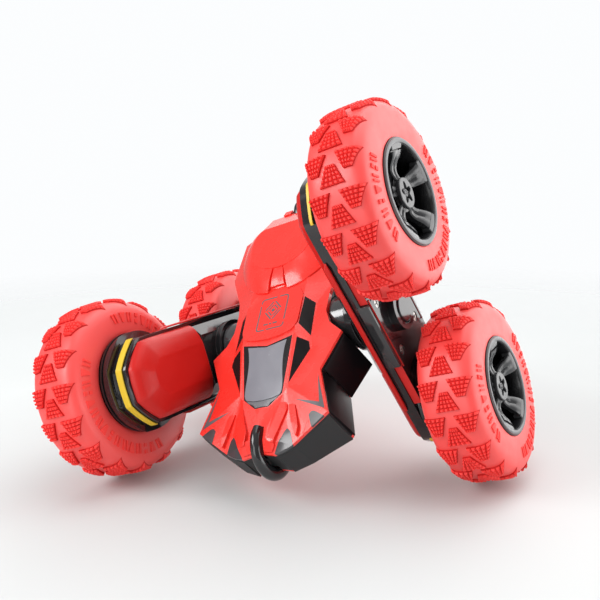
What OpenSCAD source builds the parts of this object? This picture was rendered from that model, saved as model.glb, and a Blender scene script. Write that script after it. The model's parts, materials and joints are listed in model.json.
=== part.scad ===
// Double-sided stunt car with two swinging wheel arms.
// Car frame: X across the car (right +), Y to the rear, Z up, origin on the arm pivot axis
// in the middle of the body. The row frame is the car frame leaned over so that the car
// stands on both left wheels and on the lowered right wheel.

/* [Wheels] */
// Outside diameter over the tread lugs
tyre_d = 73; // [70:0.5:73]
// Width of the tyre
tyre_w = 24.9; // [23:0.1:25]
// Number of lugs round each of the three tread rows
lugs = 16; // [10:1:18]
// Length of a tread lug round the tyre
lug_l = 7; // [6:0.1:7.6]
// Width of a tread lug at its wide end
lug_w0 = 9; // [7:0.1:9.4]
// Width of a tread lug at its narrow end
lug_w1 = 2.8; // [2:0.1:4]
// Spokes in each rim
spokes = 5; // [3:1:8]

/* [Stance] */
// Distance between the left and the right wheel centre planes
track = 128.5; // [126:0.5:140]
// Angle of the right arm below straight ahead
right_arm_angle = 115.8; // [95:0.1:125]
// Angle of the left arm below straight ahead
left_arm_angle = 0; // [0:1:5]
// Nose-down angle of the body about the arm pivots
body_angle = 43.5; // [0:0.5:45]

/* [Body] */
// Wall thickness of the two shells, across the skin
shell_t = 1.8; // [1.4:0.1:2.2]
// Bar diameter of the tow loops
loop_bar_d = 4.4; // [3:0.1:4.6]
// Centre-line radius of the tow loops
loop_r = 10; // [9:0.5:11]
// Travel of the power switch
switch_travel = 3; // [2:0.5:4]

/* [Arms] */
// Half height of the black arm frame
arm_h = 17.6; // [17:0.1:18]
// Radius of the collar at each end of an arm
collar_r = 20.5; // [19:0.1:21]
// Journal radius of the arm pivots
journal_r = 6; // [5:0.1:6.5]
// Running clearance of every bore, on the radius
bore_gap = 0.05; // [0.02:0.01:0.08]

/* [Gears] */
// Gear module
gm = 0.8; // [0.8]
// Teeth on the drive gear
z_drive = 20; // [20]
// Teeth on each idler gear
z_idler = 18; // [18]
// Teeth on each wheel gear
z_wheel = 23; // [23]

/* [Hidden] */
$fn = 64;

RED = "#e8231c"; BLACK = "#17171a"; GREY = "#54565c"; YELLOW = "#e9cf2f"; SILVER = "#c9ccd0";

reach = gm * (z_drive + 4 * z_idler + z_wheel) / 2 + gm * 0 ;  // pivot to wheel axle
p1 = gm * (z_drive + z_idler) / 2;      // pivot to first idler
p2 = p1 + gm * z_idler;                 // pivot to second idler
tyre_r = tyre_d / 2;
wx = track / 2;                         // wheel centre plane
tilt = atan(reach * (sin(right_arm_angle) - sin(left_arm_angle)) / track);
// lowest point of a tyre lies on the rounded edge of its tread
tread_edge = tyre_w / 2 - 3.9;
drop = tyre_r * cos(tilt) + tread_edge * sin(tilt);
pivot_z = drop - 0.021 + reach * sin(left_arm_angle) * cos(tilt) + wx * sin(tilt);
// the row's origin is under the middle of the bounding box
shift_x = -6.309;
shift_y = 0;

module row() translate([shift_x, shift_y, pivot_z]) rotate([0, -tilt, 0]) children();
// body frame: nose to -Y, top to +Z
module body_frame() row() rotate([body_angle, 0, 0]) children();
module right_arm() row() rotate([right_arm_angle, 0, 0]) children();
module left_arm() row() rotate([left_arm_angle, 0, 0]) mirror([1, 0, 0]) children();
// a tube or rod along X
module rodx(r, x0, x1) translate([x0, 0, 0]) rotate([0, 90, 0]) cylinder(r = r, h = x1 - x0);
module ringx(r, ri, x0, x1) difference() {
  rodx(r, x0, x1);
  rodx(ri, x0 - 1, x1 + 1);
}

// ---------------------------------------------------------------- body
// Right half of the top skin: across, towards the nose, up. 0-15 run round the edge
// from the tail to the nose, 16-22 lie round the foot of the roof, 23-29 round its flat.
function roof(s) = 20.8 - 0.106 * (s + 20.9);   // flat of the roof, rising to the tail
SKIN = [
  [0, -60, 12.8], [9, -60, 12.8], [17, -57, 12.8], [31, -50.5, 12.4], [32.5, -29, 12.4],
  [28, -19.5, 12.4], [25, -13, 12.6], [23.5, -6, 12.8], [23.5, 3, 12.8], [26, 9, 12.5],
  [32.2, 14.5, 12], [24.7, 30, 11.4], [30.6, 49.3, 9.9], [15.4, 59.5, 7.1],
  [7.4, 62.4, 6.6], [0, 60.8, 6.6],
  [0, -55, 16.2], [20, -51, 15.6], [25.5, -42, 15.4], [25.5, -30, 15.4], [20, -20, 15.8],
  [14, -14.3, 17.2], [0, -11.6, 17.7],
  [0, -44.5, roof(-44.5)], [11, -43, roof(-43)], [15.7, -36, roof(-36)],
  [15.7, -31, roof(-31)], [12, -25, roof(-25)], [6, -21.7, roof(-21.7)], [0, -20.9, roof(-20.9)],
  [14, -5, 17.3], [13, 11, 17.2], [12.9, 14, 16.9], [0, 12.5, 17.4], [0, 16.5, 16.6],
  [19.3, -2, 14], [19.6, 16, 13.2], [9.8, 39, 11.8], [0, 42, 11.5], [20.2, 21, 12.7],
  [11.6, 36.3, 12.4], [5.6, 57, 9.6], [0, 55, 9.6], [3.3, 43.8, 11]];
FACETS = [
  [0,1,16],[1,17,16],[1,2,17],[2,3,17],[3,18,17],[3,4,18],[4,19,18],[4,5,19],[5,20,19],
  [5,6,20],[20,6,21],[6,30,21],[6,7,35],[6,35,30],[7,8,35],[8,36,35],[8,9,36],[9,10,36],
  [10,39,36],[10,11,39],[11,40,39],[30,35,36],[30,36,31],[31,36,32],[32,36,39],[32,39,40],
  [32,40,37],[22,21,30],[22,30,31],[22,31,33],[33,31,32],[33,32,34],[34,32,37],[34,37,38],
  [38,37,43],[38,43,42],[11,12,40],[12,13,40],[40,13,37],[13,41,37],[37,41,43],[43,41,42],
  [13,14,41],[14,15,41],[41,15,42],
  [16,17,24],[16,24,23],[17,18,24],[18,25,24],[18,19,25],[19,26,25],[19,20,26],[20,27,26],
  [20,21,27],[21,28,27],[21,22,28],[22,29,28],
  [23,24,25],[23,25,26],[23,26,27],[23,27,28],[23,28,29]];
N = len(SKIN);
E = 16;
function other(i) = SKIN[i].x == 0 ? i : i + N;
// lid: the skin closed down to the plane z = 0, scaled and sunk for its inside
module lid(kx, ky, dz) {
  pts = concat([for (v = SKIN) [v.x * kx, -v.y * ky, v.z - dz]],
               [for (v = SKIN) [-v.x * kx, -v.y * ky, v.z - dz]],
               [for (i = [0:E-1]) [SKIN[i].x * kx, -SKIN[i].y * ky, 0]],
               [for (i = [0:E-1]) [-SKIN[i].x * kx, -SKIN[i].y * ky, 0]]);
  lo = function (i) 2 * N + i;
  lom = function (i) SKIN[i].x == 0 ? 2 * N + i : 2 * N + E + i;
  polyhedron(pts, concat(
    FACETS,
    [for (f = FACETS) [other(f[2]), other(f[1]), other(f[0])]],
    [for (i = [0:E-2]) [i + 1, i, lo(i)]],
    [for (i = [0:E-2]) [i + 1, lo(i), lo(i + 1)]],
    [for (i = [0:E-2]) [lom(i), other(i), other(i + 1)]],
    [for (i = [0:E-2]) [lom(i + 1), lom(i), other(i + 1)]],
    [concat([for (i = [E-1:-1:0]) lo(i)], [for (i = [1:E-2]) lom(i)])]));
}
in_x = 1 - shell_t / 32; in_y = 1 - 2.1 / 60;
module skin_out() lid(1, 1, 0);
module skin_in() lid(in_x, in_y, shell_t);
// prism over plan points given for the right side, [across, towards the nose]
module plan(pts, z0 = 0, z1 = 40) translate([0, 0, z0]) linear_extrude(z1 - z0)
  polygon([for (p = pts) [p.x, -p.y]]);
module both(flip = true) { children(); if (flip) mirror([1, 0, 0]) children(); }
function mirrored(pts) = concat(pts, [for (i = [len(pts)-1:-1:0]) [-pts[i].x, pts[i].y]]);
OUTLINE = mirrored([for (i = [0:E-1]) [SKIN[i].x, SKIN[i].y]]);
// height of the joint line between the frame and a shell, tail to nose
JOINT_LINE = [[-64, 11.4], [-27, 11.2], [12, 10.9], [31.5, 10.15], [47.6, 8.85], [58.6, 6.05], [66, 5.1]];
module below_joint_line() rotate([90, 0, 90]) translate([0, 0, -40]) linear_extrude(80)
  polygon(concat([for (p = JOINT_LINE) [-p.x, p.y]], [[-66, -1], [64, -1]]));

WINDSCREEN = [[0, 17.3], [12.2, 14.9], [9.3, 38.6], [3.3, 43.2]];
WS_FULL = [[0, 17.3], [12.2, 14.9], [9.3, 38.6], [3.3, 43.2], [-3.3, 43.2], [-9.3, 38.6], [-12.2, 14.9]];
WINDOW_UP = [[14.6, -3.8], [18.8, -1.2], [19, 14.8], [14, 9.6]];
WINDOW_LOW = [[14.1, 15.8], [18.8, 17.6], [19.5, 21], [11.9, 35]];
TOOTH_IN = [[12.8, 53.2], [15.6, 61], [7.2, 64]];
TOOTH_OUT = [[21.6, 51.4], [24.8, 54.6], [19.4, 58.4]];
DOOR = [[-12.5, -18], [12.5, -18], [12.5, -42], [-12.5, -42]];
screw_at = [[21.5, -45, 8.4], [15.5, 47, 6.4]];   // across, towards the nose, half post

module openings_up() {
  plan(WS_FULL);
  both() { plan(WINDOW_UP); plan(WINDOW_LOW); plan(TOOTH_IN); plan(TOOTH_OUT); }
  loop_slots();
}
slot_w = loop_bar_d + 0.4;
hub_r = 11.4;   // barrel of the pivot hubs, below the joint line of the shells
module loop_slots() for (s = [-1, 1]) {
  translate([-slot_w / 2, s > 0 ? 51.3 : -57.2, -30]) cube([slot_w, 5.9, 60]);
  for (t = [3.2, -33.2]) translate([-slot_w / 2, s > 0 ? 56 : -70, t]) cube([slot_w, 14, 30]);
}
module shell_raw() resize([0, 0, 0]) difference() {
  skin_out();
  skin_in();
  below_joint_line();
  openings_up();
}
module top_shell() color(RED) shell_raw();
module bottom_shell() color(RED) resize([0, 0, 0]) difference() {
  union() {
    mirror([0, 0, 1]) shell_raw();
    intersection() {
      mirror([0, 0, 1]) skin_out();
      for (p = screw_at) both() translate([p.x, -p.y, -20]) cylinder(r = 3.4, h = 20 - p.z, $fn = 24);
    }
  }
  mirror([0, 0, 1]) plan(DOOR);
  translate([-2.2 - switch_travel / 2 - 0.1, -5.6, -20]) cube([4.6 + switch_travel, 3.2, 12]);
  for (p = screw_at) both() translate([p.x, -p.y, -30]) {
    cylinder(r = 1.1, h = 30, $fn = 24);
    cylinder(r = 2.4, h = 28.2 - p.z, $fn = 24);
  }
}
module glass(pts) resize([0, 0, 0]) difference() { intersection() { skin_out(); plan(pts); } skin_in(); }
module top_windscreen() color(GREY) glass(WS_FULL);
module bottom_windscreen() color(GREY) mirror([0, 0, 1]) glass(WS_FULL);
module side_windows() color(BLACK) for (m = [0, 1]) mirror([0, 0, m]) both() {
  glass(WINDOW_UP);
  glass(WINDOW_LOW);
}
module bumper_teeth() color(BLACK) for (m = [0, 1]) mirror([0, 0, m]) both() resize([0, 0, 0]) difference() {
  intersection() { skin_out(); union() { plan(TOOTH_IN); plan(TOOTH_OUT); } }
  below_joint_line();
  skin_in();
}
module battery_door() color(RED) difference() {
  mirror([0, 0, 1]) glass([[-12.4, -18.1], [12.4, -18.1], [12.4, -41.9], [-12.4, -41.9]]);
  translate([0, 38.5, -30]) cylinder(r = 1.3, h = 20);
  translate([0, 38.5, -30]) cylinder(r = 2.4, h = 7.8);
}
module side_frame() color(BLACK) difference() {
  union() {
    difference() {
      linear_extrude(26, center = true) polygon([for (p = OUTLINE) [p.x, -p.y]]);
      linear_extrude(30, center = true) polygon([for (p = OUTLINE) [p.x * in_x, -p.y * in_y]]);
      mirror([0, 0, 1]) over_joint_line();
      over_joint_line();
    }
    // screw posts tied to the wall
    for (p = screw_at) both() {
      translate([p.x, -p.y, -p.z]) cylinder(r = 3.2, h = 2 * p.z);
      translate([p.x, -p.y - 1.5, -p.z]) cube([(p.y > 0 ? 29 : 30.4) - p.x, 3, 2 * p.z]);
    }
    // nose and tail blocks round the tow loops
    translate([-6, -59.3, -4.6]) cube([12, 9, 9.2]);
    translate([-6, 50.3, -8]) cube([12, 8.6, 16]);
    // cheeks behind the pivot hubs
    both() translate([21.9, -13.5, -10.6]) cube([1.6, 27, 21.2]);
    // tray that carries gearbox and battery, its two cross bars and the door's screw post
    translate([-17.6, -16, -10.4]) cube([35.2, 62, 1.4]);
    translate([-25.2, 13.5, -10.4]) cube([50.4, 3.5, 1.4]);
    translate([-29.6, -18, -10.4]) cube([59.2, 4, 1.4]);
    translate([0, 38.5, -20.6]) cylinder(r = 3, h = 11);
  }
  loop_slots();
  translate([-5.8, -7.1, -12]) cube([11.6, 6.2, 4]);   // seat of the slide switch
  rodx(9 + bore_gap, -40, 40);
  both() rodx(hub_r + bore_gap, 23.5, 40);
  for (p = screw_at) both() translate([p.x, -p.y, -20]) cylinder(r = 1 + bore_gap, h = 26);
  translate([0, 38.5, -21]) cylinder(r = 1.2 + bore_gap, h = 7);
}
module over_joint_line() rotate([90, 0, 90]) translate([0, 0, -40]) linear_extrude(80)
  polygon(concat([for (p = JOINT_LINE) [-p.x, p.y]], [[-66, 40], [64, 40]]));
// closed ring: half round outside, straight bar inside the nose or tail
module tow_loop() color(BLACK) {
  translate([0, 54.5, 0]) rotate([0, 90, 0]) rotate([0, 0, 0])
    rotate_extrude(angle = 180) translate([loop_r, 0]) circle(d = loop_bar_d);
  translate([0, 54.5, -loop_r]) cylinder(d = loop_bar_d, h = 2 * loop_r);
  translate([-slot_w / 2, 51.5, -4.4]) cube([slot_w, 4, 8.8]);
}
module pivot_hubs() color(BLACK) both() difference() {
  union() {
    rodx(10.4, 20.1, 21.85);
    rodx(9, 21, 23.6);
    rodx(hub_r, 23.55, 31);
    rodx(journal_r, 30, 37.5);
  }
  rodx(1.5 + bore_gap, 10, 45);
}
module retaining_rings() color(SILVER) both() ringx(journal_r + 1.6, 3, 37.5, 38.4);
module gearbox() color(GREY) difference() {
  translate([-17, -13, -9]) cube([34, 26, 18]);
  translate([-15.4, -11.4, -7.4]) cube([30.8, 22.8, 14.8]);
  rodx(1.5 + bore_gap, -20, 20);
  both() translate([9, 0, 0]) rotate([90, 0, 0]) cylinder(r = 1 + bore_gap, h = 20);
}
module drive_motors() color(SILVER) both() {
  translate([9, -13, 0]) rotate([90, 0, 0]) cylinder(r = 3, h = 1.2);
  translate([9, -14.2, 0]) rotate([90, 0, 0]) intersection() {
    cylinder(r = 7.6, h = 20);
    translate([-8, -6, 0]) cube([16, 12, 20]);
  }
  translate([9, -34.2, 0]) rotate([90, 0, 0]) cylinder(r = 5.4, h = 2.6);
  translate([9, -6, 0]) rotate([90, 0, 0]) cylinder(r = 1, h = 9);
}
module battery_pack() color("#3d6db5") for (x = [-1, 1])
  translate([x * 7.3, 45, -1.8]) rotate([90, 0, 0]) cylinder(r = 7.2, h = 30);
module circuit_board() {
  // body of the slide switch, on the gearbox
  color(BLACK) translate([-5.5, -6.8, -13.9]) cube([11, 5.6, 4.9]);
  color("#1f6b3c") difference() {
    translate([-16, 17, 7.6]) cube([32, 27, 1.2]);
    for (x = [-13.5, 13.5]) translate([x, 41.5, 5]) cylinder(r = 1, h = 6);
  }
  color(BLACK) translate([-5, 26, 8.8]) cube([8, 8, 1.4]);
  color(SILVER) translate([7, 22, 8.8]) cylinder(r = 2.5, h = 4);
}
module body_screws() color(SILVER) {
  for (p = screw_at) both() {
    translate([p.x, -p.y, -3.2 - p.z]) cylinder(r = 2.2, h = 1.4);
    translate([p.x, -p.y, -2 - p.z]) cylinder(r = 1, h = 10);
  }
  translate([0, 38.5, -23]) cylinder(r = 2.2, h = 0.8);
  translate([0, 38.5, -22.4]) cylinder(r = 1.2, h = 7.4);
}
module power_switch() color(BLACK) translate([-switch_travel / 2, -4, 0]) {
  translate([-2, -1.4, -18.4]) cube([4, 2.8, 4]);
  translate([-3.4, -2.6, -15.4]) cube([6.8, 5.2, 1.4]);
}

// ---------------------------------------------------------------- arms
// Local arm frame: X away from the body, Y towards the rear wheel.
module stadium(r) {
  square([2 * reach, 2 * r], center = true);
  for (s = [-1, 1]) translate([s * reach, 0]) circle(r);
}
module slab(x0, x1, r) translate([x0, 0, 0]) rotate([90, 0, 90]) linear_extrude(x1 - x0) stadium(r);
module turned(y, pts) translate([0, y, 0]) rotate([0, 90, 0]) rotate_extrude() polygon(pts);
module box(x0, x1, y, z) translate([x0, -y, -z]) cube([x1 - x0, 2 * y, 2 * z]);
// cover cross-section: half height against X
module bar(pts) rotate([90, 0, 0]) translate([0, 0, -reach]) linear_extrude(2 * reach)
  polygon(concat(pts, [for (i = [len(pts)-1:-1:0]) [pts[i].x, -pts[i].y]]));
module cover_solid(pts) {
  bar(pts);
  for (s = [-1, 1]) turned(s * reach, concat([for (p = pts) [p.y, p.x]], [[0, pts[len(pts)-1].x], [0, pts[0].x]]));
}
COVER_OUT = [[33.6, 11.2], [38.2, 16.3], [40, 16.3]];
COVER_IN = [[35.2, 10.2], [39.4, 14.7], [41, 14.7]];
module inner_cover() color(RED) difference() {
  cover_solid(COVER_OUT);
  cover_solid(COVER_IN);
  box(30, 41, 20, 15.4);
}
module inner_insert() color(BLACK) difference() {
  union() {
    intersection() {
      bar([[33.7, 10.8], [37.8, 15.35], [40, 15.35]]);
      box(30, 41, 19.95, 20);
    }
    rodx(13.2, 31.2, 34);
  }
  intersection() {
    bar([[35.4, 9.4], [39, 13.6], [42, 13.6]]);
    difference() { box(35.4, 41, 18.2, 20); rodx(9, 30, 37.5); }
  }
  rodx(9.2, 37.4, 42);
  box(38.8, 41, 22, 13.6);
  rodx(journal_r + bore_gap, 30, 42);
}
module arm_frame() color(BLACK) difference() {
  union() {
    difference() { slab(40, 44.6, arm_h); slab(39, 43.2, arm_h - 2); }
    for (y = [-reach, reach]) translate([0, y, 0]) {
      difference() {
        union() { rodx(arm_h, 44.6, 47); rodx(collar_r, 47, 50); }
        rodx(arm_h - 2.1, 44.6, 51);
      }
      rodx(6, 44, 49.6);
    }
    for (y = [-p2, -p1, p1, p2]) translate([0, y, 0]) rodx(1.5, 38.7, 44);
    for (s = [-1, 1]) translate([43.4, -14.7, s > 0 ? 16.4 : -18.2]) cube([4.6, 29.4, 1.8]);
  }
  for (y = [-reach, reach]) translate([0, y, 0]) rodx(3 + bore_gap, 40, 51);
  rodx(1.5 + bore_gap, 40, 51);
  screw_holes(0.9, 43, 46);
}
screw_yz = [[-11.5, 11], [11.5, 11], [-11.5, -11], [11.5, -11]];
module screw_holes(r, x0, x1) for (p = screw_yz) translate([0, p.x, p.y]) rodx(r, x0, x1);
module outer_cover() color(RED) difference() {
  union() {
    difference() {
      box(44.6, 48, reach - 10, 17);
      box(44, 46.4, reach, 15.4);
      box(44, 50, 15, 20);
    }
    for (s = [-1, 1]) translate([44.6, -16, s > 0 ? 15.55 : -16.35]) cube([4, 32, 0.8]);
  }
  for (y = [-reach, reach]) translate([0, y, 0]) rodx(collar_r + 0.1, 40, 51);
}
module centre_plate() color(BLACK) difference() {
  union() {
    box(44.6, 48.3, 14.9, 15.5);
    rodx(8.5, 48, 51.4);
  }
  box(44, 46.6, 9.5, 13.8);
  rodx(6.2, 47.4, 52);
  screw_holes(1, 44, 47);
  screw_holes(2.1, 46.8, 50);
}
module stripes() color(YELLOW) for (s = [-1, 1]) translate([0, s * reach, 0])
  rotate([s * 90 - 90, 0, 0]) rotate([0, 90, 0]) translate([0, 0, 42.6])
    rotate_extrude(angle = 180) translate([arm_h, 0]) square([0.3, 2.2]);
module pivot_cap() color(BLACK) {
  rodx(6.2, 47.4, 51);
  rodx(5.4, 50.9, 52);
}
module arm_screws() color(SILVER) for (p = screw_yz) translate([0, p.x, p.y]) difference() {
  union() { rodx(2, 46.8, 48); rodx(0.85, 43.3, 47); }
  translate([47.5, -0.3, -1.4]) cube([1, 0.6, 2.8]);
  translate([47.5, -1.4, -0.3]) cube([1, 2.8, 0.6]);
}

// ---------------------------------------------------------------- gears
// straight-flanked teeth, pressure angle 20, with a tooth centred at angle ph
module gear2d(z, ph) {
  rp = gm * z / 2; p = 360 / z; tip = rp + 0.9 * gm; root = rp - 1.15 * gm;
  wt = 0.215 * p - atan(0.9 * gm * tan(20) / rp);
  wr = 0.215 * p + atan(1.15 * gm * tan(20) / rp) * 0.75;
  polygon([for (i = [0:z-1]) for (q = [[root, -wr], [tip, -wt], [tip, wt], [root, wr]])
    [q[0] * cos(ph + i * p + q[1]), q[0] * sin(ph + i * p + q[1])]]);
}
// gear plane: first axis along the arm (towards the rear wheel), second up the arm
module gearx(y, z, ph, x0, x1, bore) translate([x0, y, 0]) rotate([90, 0, 90])
  linear_extrude(x1 - x0) difference() { gear2d(z, ph); if (bore > 0) circle(bore); }
gx0 = 39; gx1 = 42.7;
module drive_gear() color("#d9d4c4") {
  gearx(0, z_drive, 0, gx0, gx1, 0);
  rodx(1.5, 4, 44.4);
}
module idler(y, n) color("#d9d4c4") {
  ph = n == 1 ? 180 / z_idler : 0;
  gearx(y, z_idler, ph, gx0, gx1, 1.5 + bore_gap);
}
module axle(s) color("#d9d4c4") translate([0, s * reach, 0]) {
  // the gap that meets the idler faces the pivot
  gearx(0, z_wheel, (s > 0 ? 180 : 0) + 180 / z_wheel, gx0, gx1, 0);
  rodx(4, 42.6, 43);
  rodx(3, 42.6, wx + 1.5);
}

// ---------------------------------------------------------------- wheels
// Local wheel frame: X away from the body, origin in the middle of the tyre.
hw = tyre_w / 2;
module wheel_at(s) translate([wx, s * reach, 0]) children();
module turnx(pts) rotate([0, 90, 0]) rotate_extrude($fn = 96) polygon(pts);
rim_r = 20.4;
module lug(a, x, w0, w1) rotate([a, 0, 0]) translate([x, 0, tyre_r - 4]) linear_extrude(5)
  polygon([[-w0 / 2, -lug_l / 2], [w0 / 2, -lug_l / 2], [w1 / 2, lug_l / 2], [-w1 / 2, lug_l / 2]]);
module tyre() color(RED) {
  R = tyre_r - 1.1;
  turnx([[rim_r, -hw + 0.7], [24, -hw], [28.5, -hw], [R - 3, -hw + 0.7], [R - 1, -hw + 2.2], [R, -hw + 4.2],
    [R, hw - 4.2], [R - 1, hw - 2.2], [R - 3, hw - 0.7], [28.5, hw], [24, hw], [rim_r, hw - 0.7],
    [rim_r, 6.5], [22.6, 7], [23.6, hw - 2.4], [28.5, hw - 2], [R - 3.6, hw - 3], [R - 2.2, hw - 5.4],
    [R - 2.2, -hw + 5.4], [R - 3.6, -hw + 3], [28.5, -hw + 2], [23.6, -hw + 2.4], [22.6, -7], [rim_r, -6.5]]);
  intersection() {
    turnx([[R - 1.4, -hw + 0.7], [tyre_r - 2.2, -hw + 0.9], [tyre_r - 0.5, -hw + 2.4], [tyre_r, -hw + 4],
      [tyre_r, hw - 4], [tyre_r - 0.5, hw - 2.4], [tyre_r - 2.2, hw - 0.9], [R - 1.4, hw - 0.7],
      [R - 0.4, hw - 4.4], [R - 0.4, -hw + 4.4]]);
    for (i = [0:lugs-1]) {
      lug(i * 360 / lugs, -6.8, lug_w1, lug_w0);
      lug(i * 360 / lugs, 6.8, lug_w1, lug_w0);
      lug((i + 0.33) * 360 / lugs, 0, lug_w0, lug_w1);
    }
  }
}
module rim() color(GREY) difference() {
  union() {
    turnx([[3, -hw - 1.2], [20.7, -hw - 1.2], [20.7, -hw - 0.2], [rim_r, -hw - 0.2], [rim_r, hw + 0.6],
      [17.8, hw + 0.6], [17.8, hw - 0.8], [18.6, hw - 1.6], [18.6, -hw + 0.4], [6, -hw + 0.4], [5.2, 8], [3, 8]]);
    for (i = [0:spokes-1]) rotate([i * 360 / spokes, 0, 0]) translate([5.6, 0, 0]) rotate([90, 0, 90])
      linear_extrude(3.2) polygon([[-2.6, 4.4], [2.6, 4.4], [3.4, 18.9], [-3.4, 18.9]]);
  }
  rodx(3, -20, 8.1);
  rodx(5.85, 8, 12);
}
module hub_cap() color(GREY) {
  rodx(5.8, 8, 10.2);
  for (i = [0:4]) rotate([36 + i * 72, 0, 0]) translate([0, 0, 3.7]) rodx(1, 10, 10.9);
}

// ---------------------------------------------------------------- output
body_frame() side_frame();
body_frame() top_shell();
body_frame() bottom_shell();
body_frame() top_windscreen();
body_frame() bottom_windscreen();
body_frame() side_windows();
body_frame() bumper_teeth();
body_frame() mirror([0, 1, 0]) tow_loop();  // front_tow_loop
body_frame() tow_loop();  // rear_tow_loop
body_frame() pivot_hubs();
body_frame() retaining_rings();
body_frame() gearbox();
body_frame() drive_motors();
body_frame() battery_pack();
body_frame() battery_door();
body_frame() circuit_board();
body_frame() body_screws();
body_frame() power_switch();

left_arm() inner_cover();  // left_inner_cover
left_arm() inner_insert();  // left_inner_insert
left_arm() arm_frame();  // left_arm_frame
left_arm() outer_cover();  // left_outer_cover
left_arm() centre_plate();  // left_centre_plate
left_arm() stripes();  // left_stripes
left_arm() pivot_cap();  // left_pivot_cap
left_arm() arm_screws();  // left_arm_screws
right_arm() inner_cover();  // right_inner_cover
right_arm() inner_insert();  // right_inner_insert
right_arm() arm_frame();  // right_arm_frame
right_arm() outer_cover();  // right_outer_cover
right_arm() centre_plate();  // right_centre_plate
right_arm() stripes();  // right_stripes
right_arm() pivot_cap();  // right_pivot_cap
right_arm() arm_screws();  // right_arm_screws

left_arm() drive_gear();  // left_drive_gear
left_arm() idler(-p1, 1);  // left_front_idler_1
left_arm() idler(-p2, 2);  // left_front_idler_2
left_arm() idler(p1, 1);  // left_rear_idler_1
left_arm() idler(p2, 2);  // left_rear_idler_2
right_arm() drive_gear();  // right_drive_gear
right_arm() idler(-p1, 1);  // right_front_idler_1
right_arm() idler(-p2, 2);  // right_front_idler_2
right_arm() idler(p1, 1);  // right_rear_idler_1
right_arm() idler(p2, 2);  // right_rear_idler_2

left_arm() wheel_at(-1) tyre();  // front_left_tyre
left_arm() wheel_at(-1) rim();  // front_left_rim
left_arm() axle(-1);  // front_left_axle
left_arm() wheel_at(-1) hub_cap();  // front_left_hub_cap
left_arm() wheel_at(1) tyre();  // rear_left_tyre
left_arm() wheel_at(1) rim();  // rear_left_rim
left_arm() axle(1);  // rear_left_axle
left_arm() wheel_at(1) hub_cap();  // rear_left_hub_cap
right_arm() wheel_at(-1) tyre();  // front_right_tyre
right_arm() wheel_at(-1) rim();  // front_right_rim
right_arm() axle(-1);  // front_right_axle
right_arm() wheel_at(-1) hub_cap();  // front_right_hub_cap
right_arm() wheel_at(1) tyre();  // rear_right_tyre
right_arm() wheel_at(1) rim();  // rear_right_rim
right_arm() axle(1);  // rear_right_axle
right_arm() wheel_at(1) hub_cap();  // rear_right_hub_cap
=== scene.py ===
import json
import math
from math import cos, sin, pi, radians
import bpy
import bmesh
from mathutils import Matrix, Vector
from mathutils.geometry import delaunay_2d_cdt, intersect_line_line_2d

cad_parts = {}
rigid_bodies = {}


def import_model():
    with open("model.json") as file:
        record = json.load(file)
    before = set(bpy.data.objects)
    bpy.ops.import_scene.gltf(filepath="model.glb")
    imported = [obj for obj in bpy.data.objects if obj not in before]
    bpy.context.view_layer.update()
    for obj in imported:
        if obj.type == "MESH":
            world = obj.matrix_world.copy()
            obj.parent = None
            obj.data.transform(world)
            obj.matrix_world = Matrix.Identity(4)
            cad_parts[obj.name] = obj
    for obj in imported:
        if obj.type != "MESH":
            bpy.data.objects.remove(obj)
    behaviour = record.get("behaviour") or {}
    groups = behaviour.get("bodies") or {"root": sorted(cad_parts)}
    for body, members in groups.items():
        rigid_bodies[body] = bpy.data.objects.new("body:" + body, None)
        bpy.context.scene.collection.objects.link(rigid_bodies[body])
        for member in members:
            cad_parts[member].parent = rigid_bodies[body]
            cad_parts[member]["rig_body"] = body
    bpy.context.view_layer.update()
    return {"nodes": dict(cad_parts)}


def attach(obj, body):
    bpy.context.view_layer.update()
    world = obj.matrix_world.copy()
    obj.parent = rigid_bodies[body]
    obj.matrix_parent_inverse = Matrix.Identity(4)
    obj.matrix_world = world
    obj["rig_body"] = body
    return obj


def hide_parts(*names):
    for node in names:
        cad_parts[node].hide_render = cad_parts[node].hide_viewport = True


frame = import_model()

nodes = frame["nodes"]

# ------------------------------------------------------------------ local frames (millimetres)
MM = Matrix.Scale(0.001, 4)
ROW = Matrix.Translation((-0.006309, 0.0, 0.057051)) @ Matrix.Rotation(radians(-17.8638), 4, "Y")
BODY = ROW @ Matrix.Rotation(radians(43.5), 4, "X") @ MM
ARM = {"right": ROW @ Matrix.Rotation(radians(115.8), 4, "X") @ MM,
       "left": ROW @ Matrix.Diagonal((-1, 1, 1, 1)) @ MM}
REACH = 46.0
WX = 64.25


def wheel_frame(end, side):
    return ARM[side] @ Matrix.Translation((WX, REACH if end == "rear" else -REACH, 0))


# ------------------------------------------------------------------ materials
def new_mat(name):
    m = bpy.data.materials.new(name)
    m.use_nodes = True
    nt = m.node_tree
    nt.nodes.clear()
    out = nt.nodes.new("ShaderNodeOutputMaterial")
    b = nt.nodes.new("ShaderNodeBsdfPrincipled")
    nt.links.new(b.outputs[0], out.inputs[0])
    return m, nt, b


def noise(nt, scale, detail=3.0, rough=0.55, coords=None):
    n = nt.nodes.new("ShaderNodeTexNoise")
    n.inputs["Scale"].default_value = scale
    n.inputs["Detail"].default_value = detail
    n.inputs["Roughness"].default_value = rough
    nt.links.new((coords or obj_coords(nt)), n.inputs["Vector"])
    return n.outputs["Fac"]


def obj_coords(nt):
    for n in nt.nodes:
        if n.type == "TEX_COORD":
            return n.outputs["Object"]
    return nt.nodes.new("ShaderNodeTexCoord").outputs["Object"]


def ramp(nt, fac, stops):
    r = nt.nodes.new("ShaderNodeValToRGB")
    el = r.color_ramp.elements
    while len(el) < len(stops):
        el.new(0.5)
    for e, (p, c) in zip(el, stops):
        e.position = p
        e.color = (*c, 1) if len(c) == 3 else c
    nt.links.new(fac, r.inputs["Fac"])
    return r.outputs["Color"]


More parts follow.
